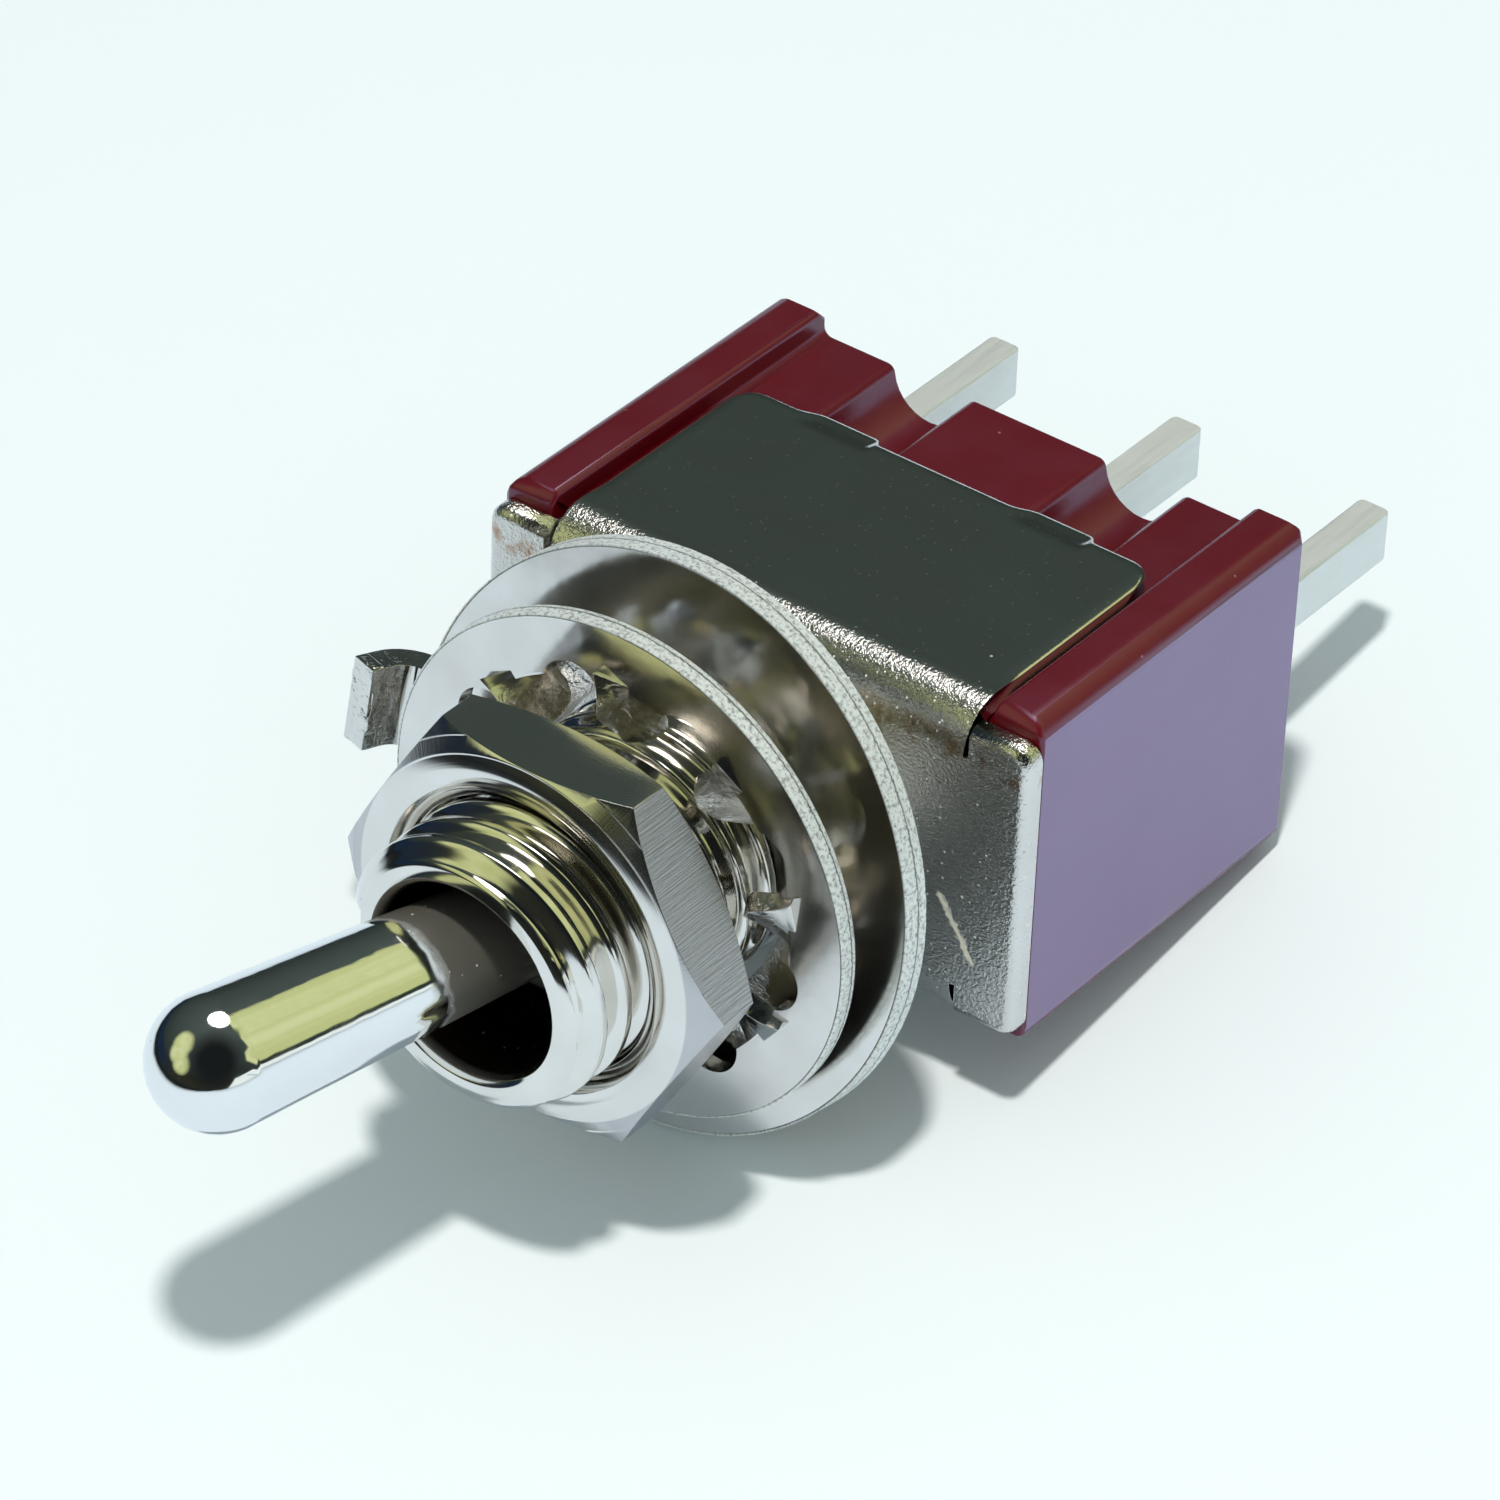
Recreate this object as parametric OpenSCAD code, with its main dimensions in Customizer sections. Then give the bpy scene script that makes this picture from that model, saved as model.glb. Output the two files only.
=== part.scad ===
// Miniature panel toggle switch: a single-pole, two-position switch with a threaded
// bushing, a sheet-metal mounting frame crimped round a moulded case, and three board pins.
// The origin is on the bushing's axis, on the front face of the mounting frame.
// +X runs along the row of pins, -Y points out along the lever, +Z is up.

/* [Case] */
// Width of the case along the row of pins
case_w = 13.2; // [13:0.1:14]
// Height of the case over its side ribs
case_h = 7.8; // [7.7:0.1:8.2]
// Length of the case from its open end to its back
case_l = 9.0; // [8.6:0.1:10]
// Width of each side rib
rib_w = 1.2; // [0.9:0.05:1.25]
// Depth of the recess between the side ribs, which holds the frame's leg
recess_depth = 0.62; // [0.5:0.02:0.7]
// Radius of each half-round flute
flute_r = 0.93; // [0.8:0.01:1]
// Distance of each flute from the middle of the case
flute_x = 2.65; // [2.5:0.05:2.8]
// Radius of the rounded lips of the flutes
lip_r = 0.2; // [0.1:0.05:0.3]
// Radius of the long outer edges of the ribs
rib_edge_r = 0.5; // [0.3:0.05:0.6]
// Bevel of the short edges at the two ends of the case
end_bevel = 0.25; // [0.15:0.05:0.35]
// Bevel of the two upright front corners, which the frame's ears cover
ear_corner_bevel = 0.08; // [0.05:0.01:0.2]
// Thickness of the case's floor, which holds the pins
case_floor = 2.1; // [1.8:0.1:2.4]
// Thickness of the case's side walls
case_wall = 1.0; // [0.8:0.05:1.1]

/* [Mounting frame] */
// Thickness of the frame's sheet metal
sheet_t = 0.45; // [0.4:0.01:0.5]
// Width of the front plate over its two ears
plate_w = 13.3; // [13:0.1:14]
// Height of the two ears
ear_h = 6.9; // [6:0.1:7.2]
// Width of each leg
leg_w = 10.2; // [10:0.1:10.6]
// Distance from the front face to the rear edge of each leg
leg_l = 6.35; // [6:0.05:7]
// Outer radius of the bend between the front plate and a leg
bend_r = 1.0; // [0.8:0.05:1.05]
// Width of each crimp tab
crimp_w = 1.4; // [1.2:0.05:1.5]
// How far a crimp tab reaches past the leg's rear edge
crimp_l = 0.3; // [0.2:0.05:0.5]
// How far a crimp tab is pressed down towards its flute, in degrees
crimp_angle = 16; // [8:1:18]

/* [Bushing] */
// Major diameter of the thread
thread_d = 5.9; // [5.8:0.02:6]
// Pitch of the thread
thread_pitch = 0.75; // [0.7:0.05:0.8]
// Length of the bushing in front of the frame
bushing_l = 8.94; // [8.8:0.02:9.2]
// Diameter of the mouth that the lever comes out of
mouth_d = 4.3; // [4.28:0.02:4.4]
// Diameter of the throat in front of the ball
throat_d = 3.2; // [3.16:0.02:3.3]
// Width of the keyway along the bushing
keyway_w = 1.15; // [1.1:0.05:1.3]
// Depth of the keyway below the thread's crests
keyway_depth = 0.5; // [0.4:0.02:0.6]

/* [Lever] */
// Distance from the lever's pivot to the front face of the frame
pivot_h = 5.2; // [5.1:0.05:5.3]
// Distance from the pivot to the middle of the round tip
lever_l = 8.7; // [8:0.1:10]
// Diameter of the round tip
tip_d = 2.78; // [2.6:0.02:2.9]
// Diameter of the lever where it leaves the ball
neck_d = 2.2; // [2:0.05:2.25]
// Diameter of the ball that the lever turns on
ball_d = 4.0; // [3.9:0.02:4.06]
// How far the lever leans to each side, in degrees
lean = 13.3; // [12:0.1:13.4]

/* [Plunger] */
// Diameter of the barrel at the lever's inner end
barrel_d = 3.0; // [2.8:0.05:3]
// Diameter of the plunger
plunger_d = 1.9; // [1.7:0.05:2]
// Diameter of the spring's wire
wire_d = 0.16; // [0.12:0.01:0.2]
// Number of turns of the spring
spring_turns = 6; // [4:1:7]

/* [Rocker] */
// Distance from the front face of the frame to the rocker's pivot
rocker_y = 5.6; // [5.58:0.01:5.66]
// Thickness of the rocker's strip
rocker_t = 0.3; // [0.25:0.01:0.34]
// Width of the rocker's strip
rocker_w = 2.2; // [2:0.05:2.3]
// Length of the rocker from end to end
rocker_l = 9.6; // [9.4:0.1:9.8]
// How far the rocker tilts to each side, in degrees
tilt = 10; // [9.9:0.05:10.1]

/* [Pins] */
// Distance between neighbouring pins
pin_pitch = 4.7; // [4.5:0.05:4.8]
// Width of a pin along the row
pin_w = 0.75; // [0.6:0.05:0.9]
// Height of a pin across the row
pin_h = 1.2; // [1:0.05:1.3]
// How far the pins stand out of the case
pin_l = 5.6; // [4:0.1:6.5]

/* [Nut] */
// Distance across the flats of the nut
nut_af = 8; // [7.6:0.1:9]
// Thickness of the nut
nut_t = 1.8; // [1.5:0.05:2]
// Distance of the nut's rear face from the frame
nut_h = 5.4; // [5:0.05:6]
// Depth of the chamfer at the nut's corners, along the bushing
nut_chamfer = 0.45; // [0.3:0.05:0.6]
// Diameter of the round that the chamfer leaves on each face of the nut
nut_face_d = 7.7; // [7.2:0.1:7.9]

/* [Washers] */
// Outer diameter of the toothed lock washer
lock_d = 11; // [10:0.1:11]
// Thickness of the toothed lock washer
lock_t = 0.42; // [0.35:0.01:0.45]
// Distance of the lock washer's middle from the frame
lock_h = 3.97; // [3.95:0.01:4.1]
// Number of inner teeth
tooth_count = 9; // [7:1:10]
// Twist of each tooth, in degrees
tooth_twist = 20; // [10:1:21]
// Outer diameter of the keyed washer
key_d = 12.2; // [12:0.1:12.4]
// Thickness of the keyed washer
key_t = 0.63; // [0.5:0.01:0.65]
// Distance of the keyed washer's front face from the frame
key_h = 2.9; // [2.8:0.01:2.92]
// How far the loose keyed washer leans back at its top, in degrees
key_lean = 8.1; // [6:0.1:8.4]
// How far the keyed washer's locating tab is bent forward, in degrees
tab_bend = 75; // [60:1:90]
// Width of the locating tab
tab_w = 1.85; // [1.6:0.05:2.2]

/* [Hidden] */

// Face-to-face gaps between pieces that move past each other.
run_gap = 0.03;
contact_gap = 0.02;
// How far a cut runs past the face that it opens, and how far joined solids overlap.
cut_over = 1;
overlap = 0.1;

// Case: it sits just behind the front plate, and its cavity guides the barrel.
case_y = sheet_t + run_gap;
case_back = case_y + case_l;
floor_y = case_back - case_floor;
cavity_w = case_w - 2 * case_wall;
cavity_gap = 0.1;
cavity_h = barrel_d + 2 * cavity_gap;
recess_z = case_h / 2 - recess_depth;
rib_x = case_w / 2 - rib_w;
flute_sink = 0.05;
flute_z = recess_z - flute_sink;
rib_foot_r = 0.2;
rib_lip_r = 0.15;
pocket_gap = 0.15;
// The lips are arcs that touch both the flute and the recess floor.
lip_rise = recess_z - lip_r - flute_z;
lip_dx = sqrt(pow(flute_r + lip_r, 2) - pow(lip_rise, 2));
lip_angle = atan2(-lip_rise, lip_dx);

// Mounting frame: each bend starts at the recess floor and ends flush with the plate.
leg_z = recess_z;
bend_z = leg_z + sheet_t - bend_r;
ear_corner_r = 0.4;
leg_corner_r = 0.6;
crimp_root = 0.75;
relief_w = 0.12;
front_chamfer = bend_r - case_y + run_gap;

// Bushing: its spigot goes through the front plate and is staked behind it.
thread_r = thread_d / 2;
spigot_d = 5.2;
stake_d = 6;
stake_t = 0.35;
bore_gap = 0.05;
bore_d = ball_d + 2 * bore_gap;
bore_flare = 1.6;
rear_bore_d = 4.5;
end_chamfer = 0.37;
thread_depth = 0.46;
thread_start = 0.5;
crest_w = thread_pitch / 8;
root_w = thread_pitch / 4;
flank_w = (thread_pitch - crest_w - root_w) / 2;
thread_turns = floor((bushing_l - end_chamfer - thread_start) / thread_pitch);

// Lever: the barrel starts clear of the stake when the lever leans.
neck_reach = 1.5;
stem_d = 1.5;
barrel_top = 6.95;
barrel_end = 8.9;
barrel_floor = 0.35;

// Plunger: a cup whose round tip just clears the rocker when the lever is upright.
plunger_reach = pivot_h + rocker_y - rocker_t - run_gap;
plunger_top = 8.05;
plunger_tip_r = 0.7;
plunger_taper = 0.6;
tip_centre = plunger_reach - plunger_tip_r;
cup_d = 1.3;
cup_floor = 0.25;
cup_end = tip_centre - cup_floor;
spring_gap = 0.1;
spring_sides = 8;
spring_steps = 18;
spring_r = cup_d / 2 - spring_gap - wire_d / 2;
spring_top = barrel_top + barrel_floor + wire_d / 2 + contact_gap;
spring_end = cup_end - wire_d / 2 - contact_gap;

// Rocker: its hollow follows the path of the plunger's tip seen from the rocker, a curve
// through the leaning positions and the upright one.
lean_x = tip_centre * sin(lean);
lean_y = tip_centre * cos(lean) - pivot_h - rocker_y;
path_x = lean_x * cos(tilt) + lean_y * sin(tilt);
path_y = lean_y * cos(tilt) - lean_x * sin(tilt);
path_rise = tip_centre - pivot_h - rocker_y - path_y;
path_r = (path_x * path_x + path_rise * path_rise) / (2 * path_rise);
hollow_r = path_r + plunger_tip_r + run_gap;
hollow_y = -rocker_t - hollow_r;
hollow_margin = 2;
hollow_angle = asin(path_x / path_r) + hollow_margin;
wing_y = hollow_y + hollow_r * cos(hollow_angle);
wing_x = hollow_r * sin(hollow_angle);
trunnion_w = 0.5;
trunnion_h = 3;

// Contacts: the rocker's buttons land flat on the fixed contacts at the end of the tilt.
button_x = 4.25;
button_d = 1;
button_t = 0.22;
button_face = wing_y + rocker_t + button_t;
landing_y = rocker_y + (button_x + button_d / 2) * sin(tilt) + button_face * cos(tilt);
contact_y = landing_y + contact_gap;
contact_x = 4.4;
contact_d = 1.2;
contact_t = 0.25;
head_w = 1.6;
head_h = 1.9;
head_t = 0.35;

// Common terminal: a saddle with a ridge under the rocker and two notched ears beside it.
ridge_r = 0.25;
saddle_w = 1.6;
saddle_t = 0.35;
saddle_y = rocker_y + contact_gap + ridge_r;
ear_t = 0.3;
ear_rise = 0.7;
notch_w = 0.86;
notch_depth = 0.12;
notch_y = rocker_y + notch_depth;
pin_tip_r = 0.15;

// Hardware on the bushing.
nut_gap = 0.05;
nut_bore_d = thread_d + 2 * nut_gap;
countersink = 0.2;
corner_trim = 0.02;
washer_drop = 0.1;
lock_bore_r = 3.12;
tooth_root_r = 4.2;
notch_r = 0.72;
notch_reach = 4.54;
tooth_w = 1.3;
first_gap_angle = 28;
key_bore_d = 6.4;
key_turn = 2;
key_yaw = -1.7;
key_tongue_w = 0.8;
key_tongue_r = 2.62;
tab_bend_r = 0.5;
tab_start = 6.15;
tab_end_l = 0.5;

plastic = "#5c1319";
nickel = "#b9bdb8";
brass_nickel = "#c4c7c0";
silver = "#d5d8d6";

// A round solid on the bushing's axis, from [radius, distance in front of the frame].
module turned(profile) {
    rotate([90, 0, 0]) rotate_extrude($fn = 96) polygon(profile);
}

// A cylinder or cone on the bushing's axis, between two distances in front of the frame.
module round_bar(from, to, d1, d2) {
    translate([0, -from, 0]) rotate([90, 0, 0]) cylinder(h = to - from, d1 = d1, d2 = d2, $fn = 96);
}

// Moves children from the bushing's frame to the leaning lever's own axis at its pivot.
module on_lever() {
    translate([0, -pivot_h, 0]) rotate([0, 0, -lean]) children();
}

// Moves children to the rocker's pivot, tilted to the side that the plunger presses.
module on_rocker() {
    translate([0, rocker_y, 0]) rotate([0, 0, tilt]) children();
}

// A plate standing across the bushing's axis, from an outline in X and Z.
module cross_plate(y, thickness) {
    translate([0, y + thickness, 0]) rotate([90, 0, 0]) linear_extrude(thickness) children();
}

// A block given by its centre in X and Z and its span along the bushing's axis.
module block(x, z, w, h, y1, y2) {
    translate([x - w / 2, y1, z - h / 2]) cube([w, y2 - y1, h]);
}

// A rectangle with round corners, centred.
module round_rect(w, h, r) {
    square([w - 2 * r, h], center = true);
    square([w, h - 2 * r], center = true);
    for (x = [-1, 1], y = [-1, 1])
        translate([x * (w / 2 - r), y * (h / 2 - r)]) circle(r, $fn = 32);
}

// A rectangle with bevelled corners, centred.
module bevel_rect(w, h, bevel) {
    x = w / 2;
    y = h / 2;
    polygon([[x, y - bevel], [x - bevel, y], [bevel - x, y], [-x, y - bevel],
             [-x, bevel - y], [bevel - x, -y], [x - bevel, -y], [x, bevel - y]]);
}

// Points along an arc.
function arc(x, y, r, from, to, steps) =
    [for (i = [0 : steps]) let (a = from + (to - from) * i / steps) [x + r * cos(a), y + r * sin(a)]];

// A quarter of the case's cross-section, from the middle of the top to the side.
function case_quarter() = concat(
    [[0, recess_z]],
    arc(flute_x - lip_dx, recess_z - lip_r, lip_r, 90, lip_angle, 5),
    arc(flute_x, flute_z, flute_r, 180 + lip_angle, 360 - lip_angle, 14),
    arc(flute_x + lip_dx, recess_z - lip_r, lip_r, 180 - lip_angle, 90, 5),
    arc(rib_x - rib_foot_r, recess_z + rib_foot_r, rib_foot_r, 270, 360, 4),
    arc(rib_x + rib_lip_r, case_h / 2 - rib_lip_r, rib_lip_r, 180, 90, 4),
    arc(case_w / 2 - rib_edge_r, case_h / 2 - rib_edge_r, rib_edge_r, 90, 0, 6));

function flip(points, sx, sy) = [for (p = points) [sx * p.x, sy * p.y]];
function backwards(points) = [for (i = [len(points) - 1 : -1 : 0]) points[i]];

module case_section() {
    quarter = case_quarter();
    polygon(concat(quarter, backwards(flip(quarter, 1, -1)),
                   flip(quarter, -1, -1), backwards(flip(quarter, -1, 1))));
}

// The case seen from above, bevelled at its four upright corners.
module case_plan() {
    side = case_w / 2;
    half = [[side - ear_corner_bevel, case_y], [side, case_y + ear_corner_bevel],
            [side, case_back - end_bevel], [side - end_bevel, case_back]];
    polygon(concat(half, backwards(flip(half, -1, 1))));
}

// The moulded case: fluted outside, hollow inside, with a slot in its floor for each pin.
module case() {
    color(plastic) difference() {
        intersection() {
            cross_plate(case_y, case_l) case_section();
            translate([0, 0, -case_h]) linear_extrude(2 * case_h) case_plan();
            translate([-case_w, case_y + case_l / 2, 0]) rotate([90, 0, 90]) linear_extrude(2 * case_w)
                bevel_rect(case_l, case_h, end_bevel);
        }
        block(0, 0, cavity_w, cavity_h, case_y + stake_t, floor_y);
        round_bar(-case_y - stake_t - pocket_gap, -case_y + cut_over,
                  stake_d + 2 * pocket_gap, stake_d + 2 * pocket_gap);
        for (x = [-pin_pitch, 0, pin_pitch])
            block(x, 0, pin_w, pin_h, floor_y - cut_over, case_back + cut_over);
        for (side = [0, 1]) mirror([0, 0, side]) front_bevel();
    }
}

// The bevel on the case's front edge that leaves room for the inside of the frame's bend.
module front_bevel() {
    translate([0, case_y, recess_z]) rotate([45, 0, 0])
        cube([2 * rib_x, front_chamfer * sqrt(2), front_chamfer * sqrt(2)], center = true);
}

// One leg of the frame: a quarter bend and a flat plate with two crimp tabs at its end.
module leg() {
    translate([-leg_w / 2, 0, 0]) rotate([90, 0, 90]) linear_extrude(leg_w) intersection() {
        translate([bend_r, bend_z]) difference() {
            circle(bend_r, $fn = 64);
            circle(bend_r - sheet_t, $fn = 64);
        }
        translate([0, bend_z]) square(bend_r);
    }
    translate([0, 0, leg_z]) linear_extrude(sheet_t) difference() {
        translate([0, leg_l / 2]) round_rect(leg_w, leg_l, leg_corner_r);
        translate([-leg_w, -cut_over]) square([2 * leg_w, cut_over + bend_r]);
        for (x = [-flute_x, flute_x])
            translate([x - crimp_w / 2, leg_l - crimp_root]) square([crimp_w, crimp_root + cut_over]);
    }
    for (x = [-flute_x, flute_x]) crimp_tab(x);
}

// A crimp tab, hinged at its root in the leg and pressed down into the flute.
module crimp_tab(x) {
    translate([x, leg_l - crimp_root, leg_z + sheet_t]) rotate([-crimp_angle, 0, 0])
        translate([-crimp_w / 2, 0, -sheet_t]) cube([crimp_w, crimp_root + crimp_l, sheet_t]);
}

// The sheet-metal frame: a front plate with two ears, and a leg over each broad face.
module mounting_frame() {
    color(nickel) {
        cross_plate(0, sheet_t) difference() {
            round_rect(plate_w, ear_h, ear_corner_r);
            for (side = [-1, 1]) translate([0, side * (bend_z + cut_over)])
                square([leg_w + 2 * relief_w, 2 * cut_over], center = true);
            circle(d = spigot_d, $fn = 96);
        }
        for (side = [0, 1]) mirror([0, 0, side]) leg();
    }
}

// Crests and roots of the thread, as points from the frame to the bushing's end.
function thread_points() = [for (i = [0 : thread_turns - 1]) let (h = thread_start + i * thread_pitch)
    each [[thread_r, h],
          [thread_r - thread_depth, h + flank_w],
          [thread_r - thread_depth, h + flank_w + root_w],
          [thread_r, h + 2 * flank_w + root_w]]];

// The threaded bushing: ridged outside, with a keyway, a ball seat and a flared bore.
module bushing() {
    tail_h = -sheet_t - stake_t;
    seat_r = ball_d / 2 + run_gap;
    throat_h = pivot_h + sqrt(pow(seat_r, 2) - pow(throat_d / 2, 2));
    color(brass_nickel) difference() {
        turned(concat(
            [[0, tail_h], [stake_d / 2, tail_h], [stake_d / 2, -sheet_t],
             [spigot_d / 2, -sheet_t], [spigot_d / 2, 0], [thread_r, 0]],
            thread_points(),
            [[thread_r, bushing_l - end_chamfer], [thread_r - end_chamfer, bushing_l],
             [0, bushing_l]]));
        round_bar(throat_h, bushing_l, throat_d, mouth_d);
        round_bar(pivot_h, throat_h + overlap, throat_d, throat_d);
        translate([0, -pivot_h, 0]) sphere(seat_r, $fn = 96);
        round_bar(bore_flare, pivot_h, bore_d, bore_d);
        round_bar(tail_h, bore_flare, rear_bore_d, bore_d);
        round_bar(tail_h - cut_over, tail_h, rear_bore_d, rear_bore_d);
        block(-thread_r, 0, 2 * keyway_depth, keyway_w, -bushing_l - cut_over, -thread_start);
    }
}

// The lever: one turned piece, from the round tip through the ball to the bored barrel.
module lever() {
    color(nickel) on_lever() difference() {
        union() {
            translate([0, -lever_l, 0]) sphere(d = tip_d, $fn = 96);
            round_bar(neck_reach, lever_l, neck_d, tip_d);
            sphere(d = ball_d, $fn = 96);
            round_bar(0, neck_reach, neck_d, neck_d);
            round_bar(-barrel_top, 0, stem_d, stem_d);
            round_bar(-barrel_end, -barrel_top, barrel_d, barrel_d);
        }
        round_bar(-barrel_end - cut_over, -barrel_top - barrel_floor,
                  plunger_d + 2 * run_gap, plunger_d + 2 * run_gap);
    }
}

// The plunger: a moulded cup that slides in the barrel and presses on the rocker.
module plunger() {
    taper_end = -tip_centre;
    color("#e6e3d6") on_lever() difference() {
        union() {
            round_bar(taper_end + plunger_taper, -plunger_top, plunger_d, plunger_d);
            round_bar(taper_end, taper_end + plunger_taper, 2 * plunger_tip_r, plunger_d);
            translate([0, tip_centre, 0]) sphere(plunger_tip_r, $fn = 64);
        }
        round_bar(-cup_end, -plunger_top + cut_over, cup_d, cup_d);
    }
}

// A ring of points round the spring's wire, at a given turn along the helix.
function wire_ring(turn) = let (
    a = 360 * turn,
    y = spring_top + (spring_end - spring_top) * turn / spring_turns)
    [for (i = [0 : spring_sides - 1]) let (
        b = 360 * i / spring_sides,
        r = spring_r + wire_d / 2 * cos(b))
        [r * cos(a), y + wire_d / 2 * sin(b), r * sin(a)]];

// The spring that drives the plunger out of the barrel.
module plunger_spring() {
    count = spring_turns * spring_steps;
    points = [for (k = [0 : count]) each wire_ring(k / spring_steps)];
    sides = [for (k = [0 : count - 1], i = [0 : spring_sides - 1])
        let (j = (i + 1) % spring_sides, a = k * spring_sides, b = a + spring_sides)
        [a + i, b + i, b + j, a + j]];
    first = [for (i = [0 : spring_sides - 1]) i];
    last = [for (i = [spring_sides - 1 : -1 : 0]) count * spring_sides + i];
    color("#8d9194") on_lever() polyhedron(points, concat(sides, [first, last]));
}

// The rocker: a formed strip whose hollow guides the plunger, with a flat wing at each end.
module rocker() {
    color(silver) on_rocker() {
        translate([0, 0, -rocker_w / 2]) linear_extrude(rocker_w) {
            intersection() {
                translate([0, hollow_y]) difference() {
                    circle(hollow_r + rocker_t, $fn = 128);
                    circle(hollow_r, $fn = 128);
                }
                polygon([[0, hollow_y],
                         [2 * hollow_r * tan(hollow_angle), hollow_y + 2 * hollow_r],
                         [-2 * hollow_r * tan(hollow_angle), hollow_y + 2 * hollow_r]]);
            }
            for (side = [0, 1]) mirror([side, 0])
                translate([wing_x, wing_y]) square([rocker_l / 2 - wing_x, rocker_t]);
        }
        translate([-trunnion_w / 2, -rocker_t, -trunnion_h / 2])
            cube([trunnion_w, rocker_t, trunnion_h]);
    }
}

// A silver button under one wing of the rocker.
module rocker_contact(side) {
    color(silver) on_rocker() translate([side * button_x, button_face, 0]) rotate([90, 0, 0])
        cylinder(h = button_t, d = button_d, $fn = 48);
}

// A straight board pin through the case's floor, with its free end rounded off.
module pin(x, from) {
    pin_end = case_back + pin_l;
    translate([x, (from + pin_end) / 2, -pin_h / 2]) linear_extrude(pin_h)
        round_rect(pin_w, pin_end - from, pin_tip_r);
    block(x, 0, pin_w, pin_h, from, from + 2 * pin_tip_r);
}

// An outer terminal: a pin with a wide head that carries the fixed contact.
module outer_terminal(side) {
    head_y = contact_y + contact_t;
    color(silver) {
        pin(side * pin_pitch, head_y);
        block(side * (contact_x + (head_w - contact_d) / 4), 0, head_w, head_h,
              head_y, head_y + head_t);
    }
}

// The common terminal: a pin that ends in the saddle under the rocker.
module terminal_common() {
    color(silver) {
        pin(0, saddle_y);
        block(0, 0, saddle_w, trunnion_h, saddle_y, saddle_y + saddle_t);
        translate([0, saddle_y, 0]) cylinder(r = ridge_r, h = rocker_w, center = true, $fn = 48);
        for (side = [-1, 1]) translate([0, 0, side * (trunnion_h - ear_t) / 2])
            linear_extrude(ear_t, center = true) difference() {
                translate([-saddle_w / 2, rocker_y - ear_rise])
                    square([saddle_w, ear_rise + saddle_y - rocker_y + saddle_t]);
                translate([-notch_w / 2, 0]) square([notch_w, notch_y]);
            }
    }
}

// A fixed silver contact on the head of an outer terminal.
module fixed_contact(side) {
    color("#e2e4e3") translate([side * contact_x, contact_y + contact_t, 0]) rotate([90, 0, 0])
        cylinder(h = contact_t, d = contact_d, $fn = 48);
}

// The loose keyed washer: a disc with a tongue in the keyway and a locating tab bent forward.
module keyed_washer() {
    color(nickel) translate([0, -key_h, -washer_drop]) rotate([-key_lean, key_turn, key_yaw]) {
        difference() {
            union() {
                cross_plate(0, key_t) circle(d = key_d, $fn = 96);
                block(-tab_start / 2, 0, tab_start, tab_w, 0, key_t);
            }
            round_bar(-key_t - cut_over, cut_over, key_bore_d, key_bore_d);
        }
        block(-(key_bore_d / 2 + key_tongue_r) / 2, 0, key_bore_d / 2 - key_tongue_r + overlap,
              key_tongue_w, 0, key_t);
        translate([-tab_start, -tab_bend_r, 0]) {
            rotate([0, 0, 90]) translate([0, 0, -tab_w / 2])
                rotate_extrude(angle = tab_bend, $fn = 64)
                    translate([tab_bend_r, 0]) square([key_t, tab_w]);
            rotate([0, 0, tab_bend]) translate([-tab_end_l, tab_bend_r, -tab_w / 2])
                cube([tab_end_l, key_t, tab_w]);
        }
    }
}

// The toothed lock washer: a ring whose inner teeth are each twisted about their own length.
module lock_washer() {
    pitch = 360 / tooth_count;
    color(nickel) translate([0, -lock_h, 0]) {
        cross_plate(-lock_t / 2, lock_t) difference() {
            circle(d = lock_d, $fn = 96);
            circle(tooth_root_r, $fn = 96);
            for (i = [0 : tooth_count - 1]) rotate(first_gap_angle + i * pitch)
                translate([notch_reach - notch_r, 0]) circle(notch_r, $fn = 32);
        }
        for (i = [0 : tooth_count - 1]) rotate([0, -first_gap_angle - (i + 0.5) * pitch, 0])
            lock_tooth();
    }
}

module lock_tooth() {
    rotate([tooth_twist, 0, 0])
        translate([lock_bore_r, -lock_t / 2, -tooth_w / 2])
            cube([tooth_root_r + overlap - lock_bore_r, lock_t, tooth_w]);
}

// The hexagon nut, chamfered on both faces.
module nut() {
    corner_r = nut_af / sqrt(3) - corner_trim;
    color(nickel) difference() {
        intersection() {
            translate([0, -nut_h, 0]) rotate([90, 0, 0])
                cylinder(r = nut_af / sqrt(3), h = nut_t, $fn = 6);
            turned([[0, nut_h], [nut_face_d / 2, nut_h],
                    [corner_r, nut_h + nut_chamfer],
                    [corner_r, nut_h + nut_t - nut_chamfer],
                    [nut_face_d / 2, nut_h + nut_t], [0, nut_h + nut_t]]);
        }
        round_bar(nut_h - cut_over, nut_h + nut_t + cut_over, nut_bore_d, nut_bore_d);
        round_bar(nut_h + nut_t - countersink, nut_h + nut_t,
                  nut_bore_d, nut_bore_d + 2 * countersink);
        round_bar(nut_h, nut_h + countersink, nut_bore_d + 2 * countersink, nut_bore_d);
    }
}

case();
mounting_frame();
bushing();
lever();
plunger();
plunger_spring();
rocker();
rocker_contact(-1);  // rocker_contact_left
rocker_contact(1);  // rocker_contact_right
outer_terminal(-1);  // terminal_left
terminal_common();
outer_terminal(1);  // terminal_right
fixed_contact(-1);  // contact_left
fixed_contact(1);  // contact_right
keyed_washer();
lock_washer();
nut();
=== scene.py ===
import math

import bmesh
import bpy
from mathutils import Euler, Matrix, Vector, noise


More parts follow.
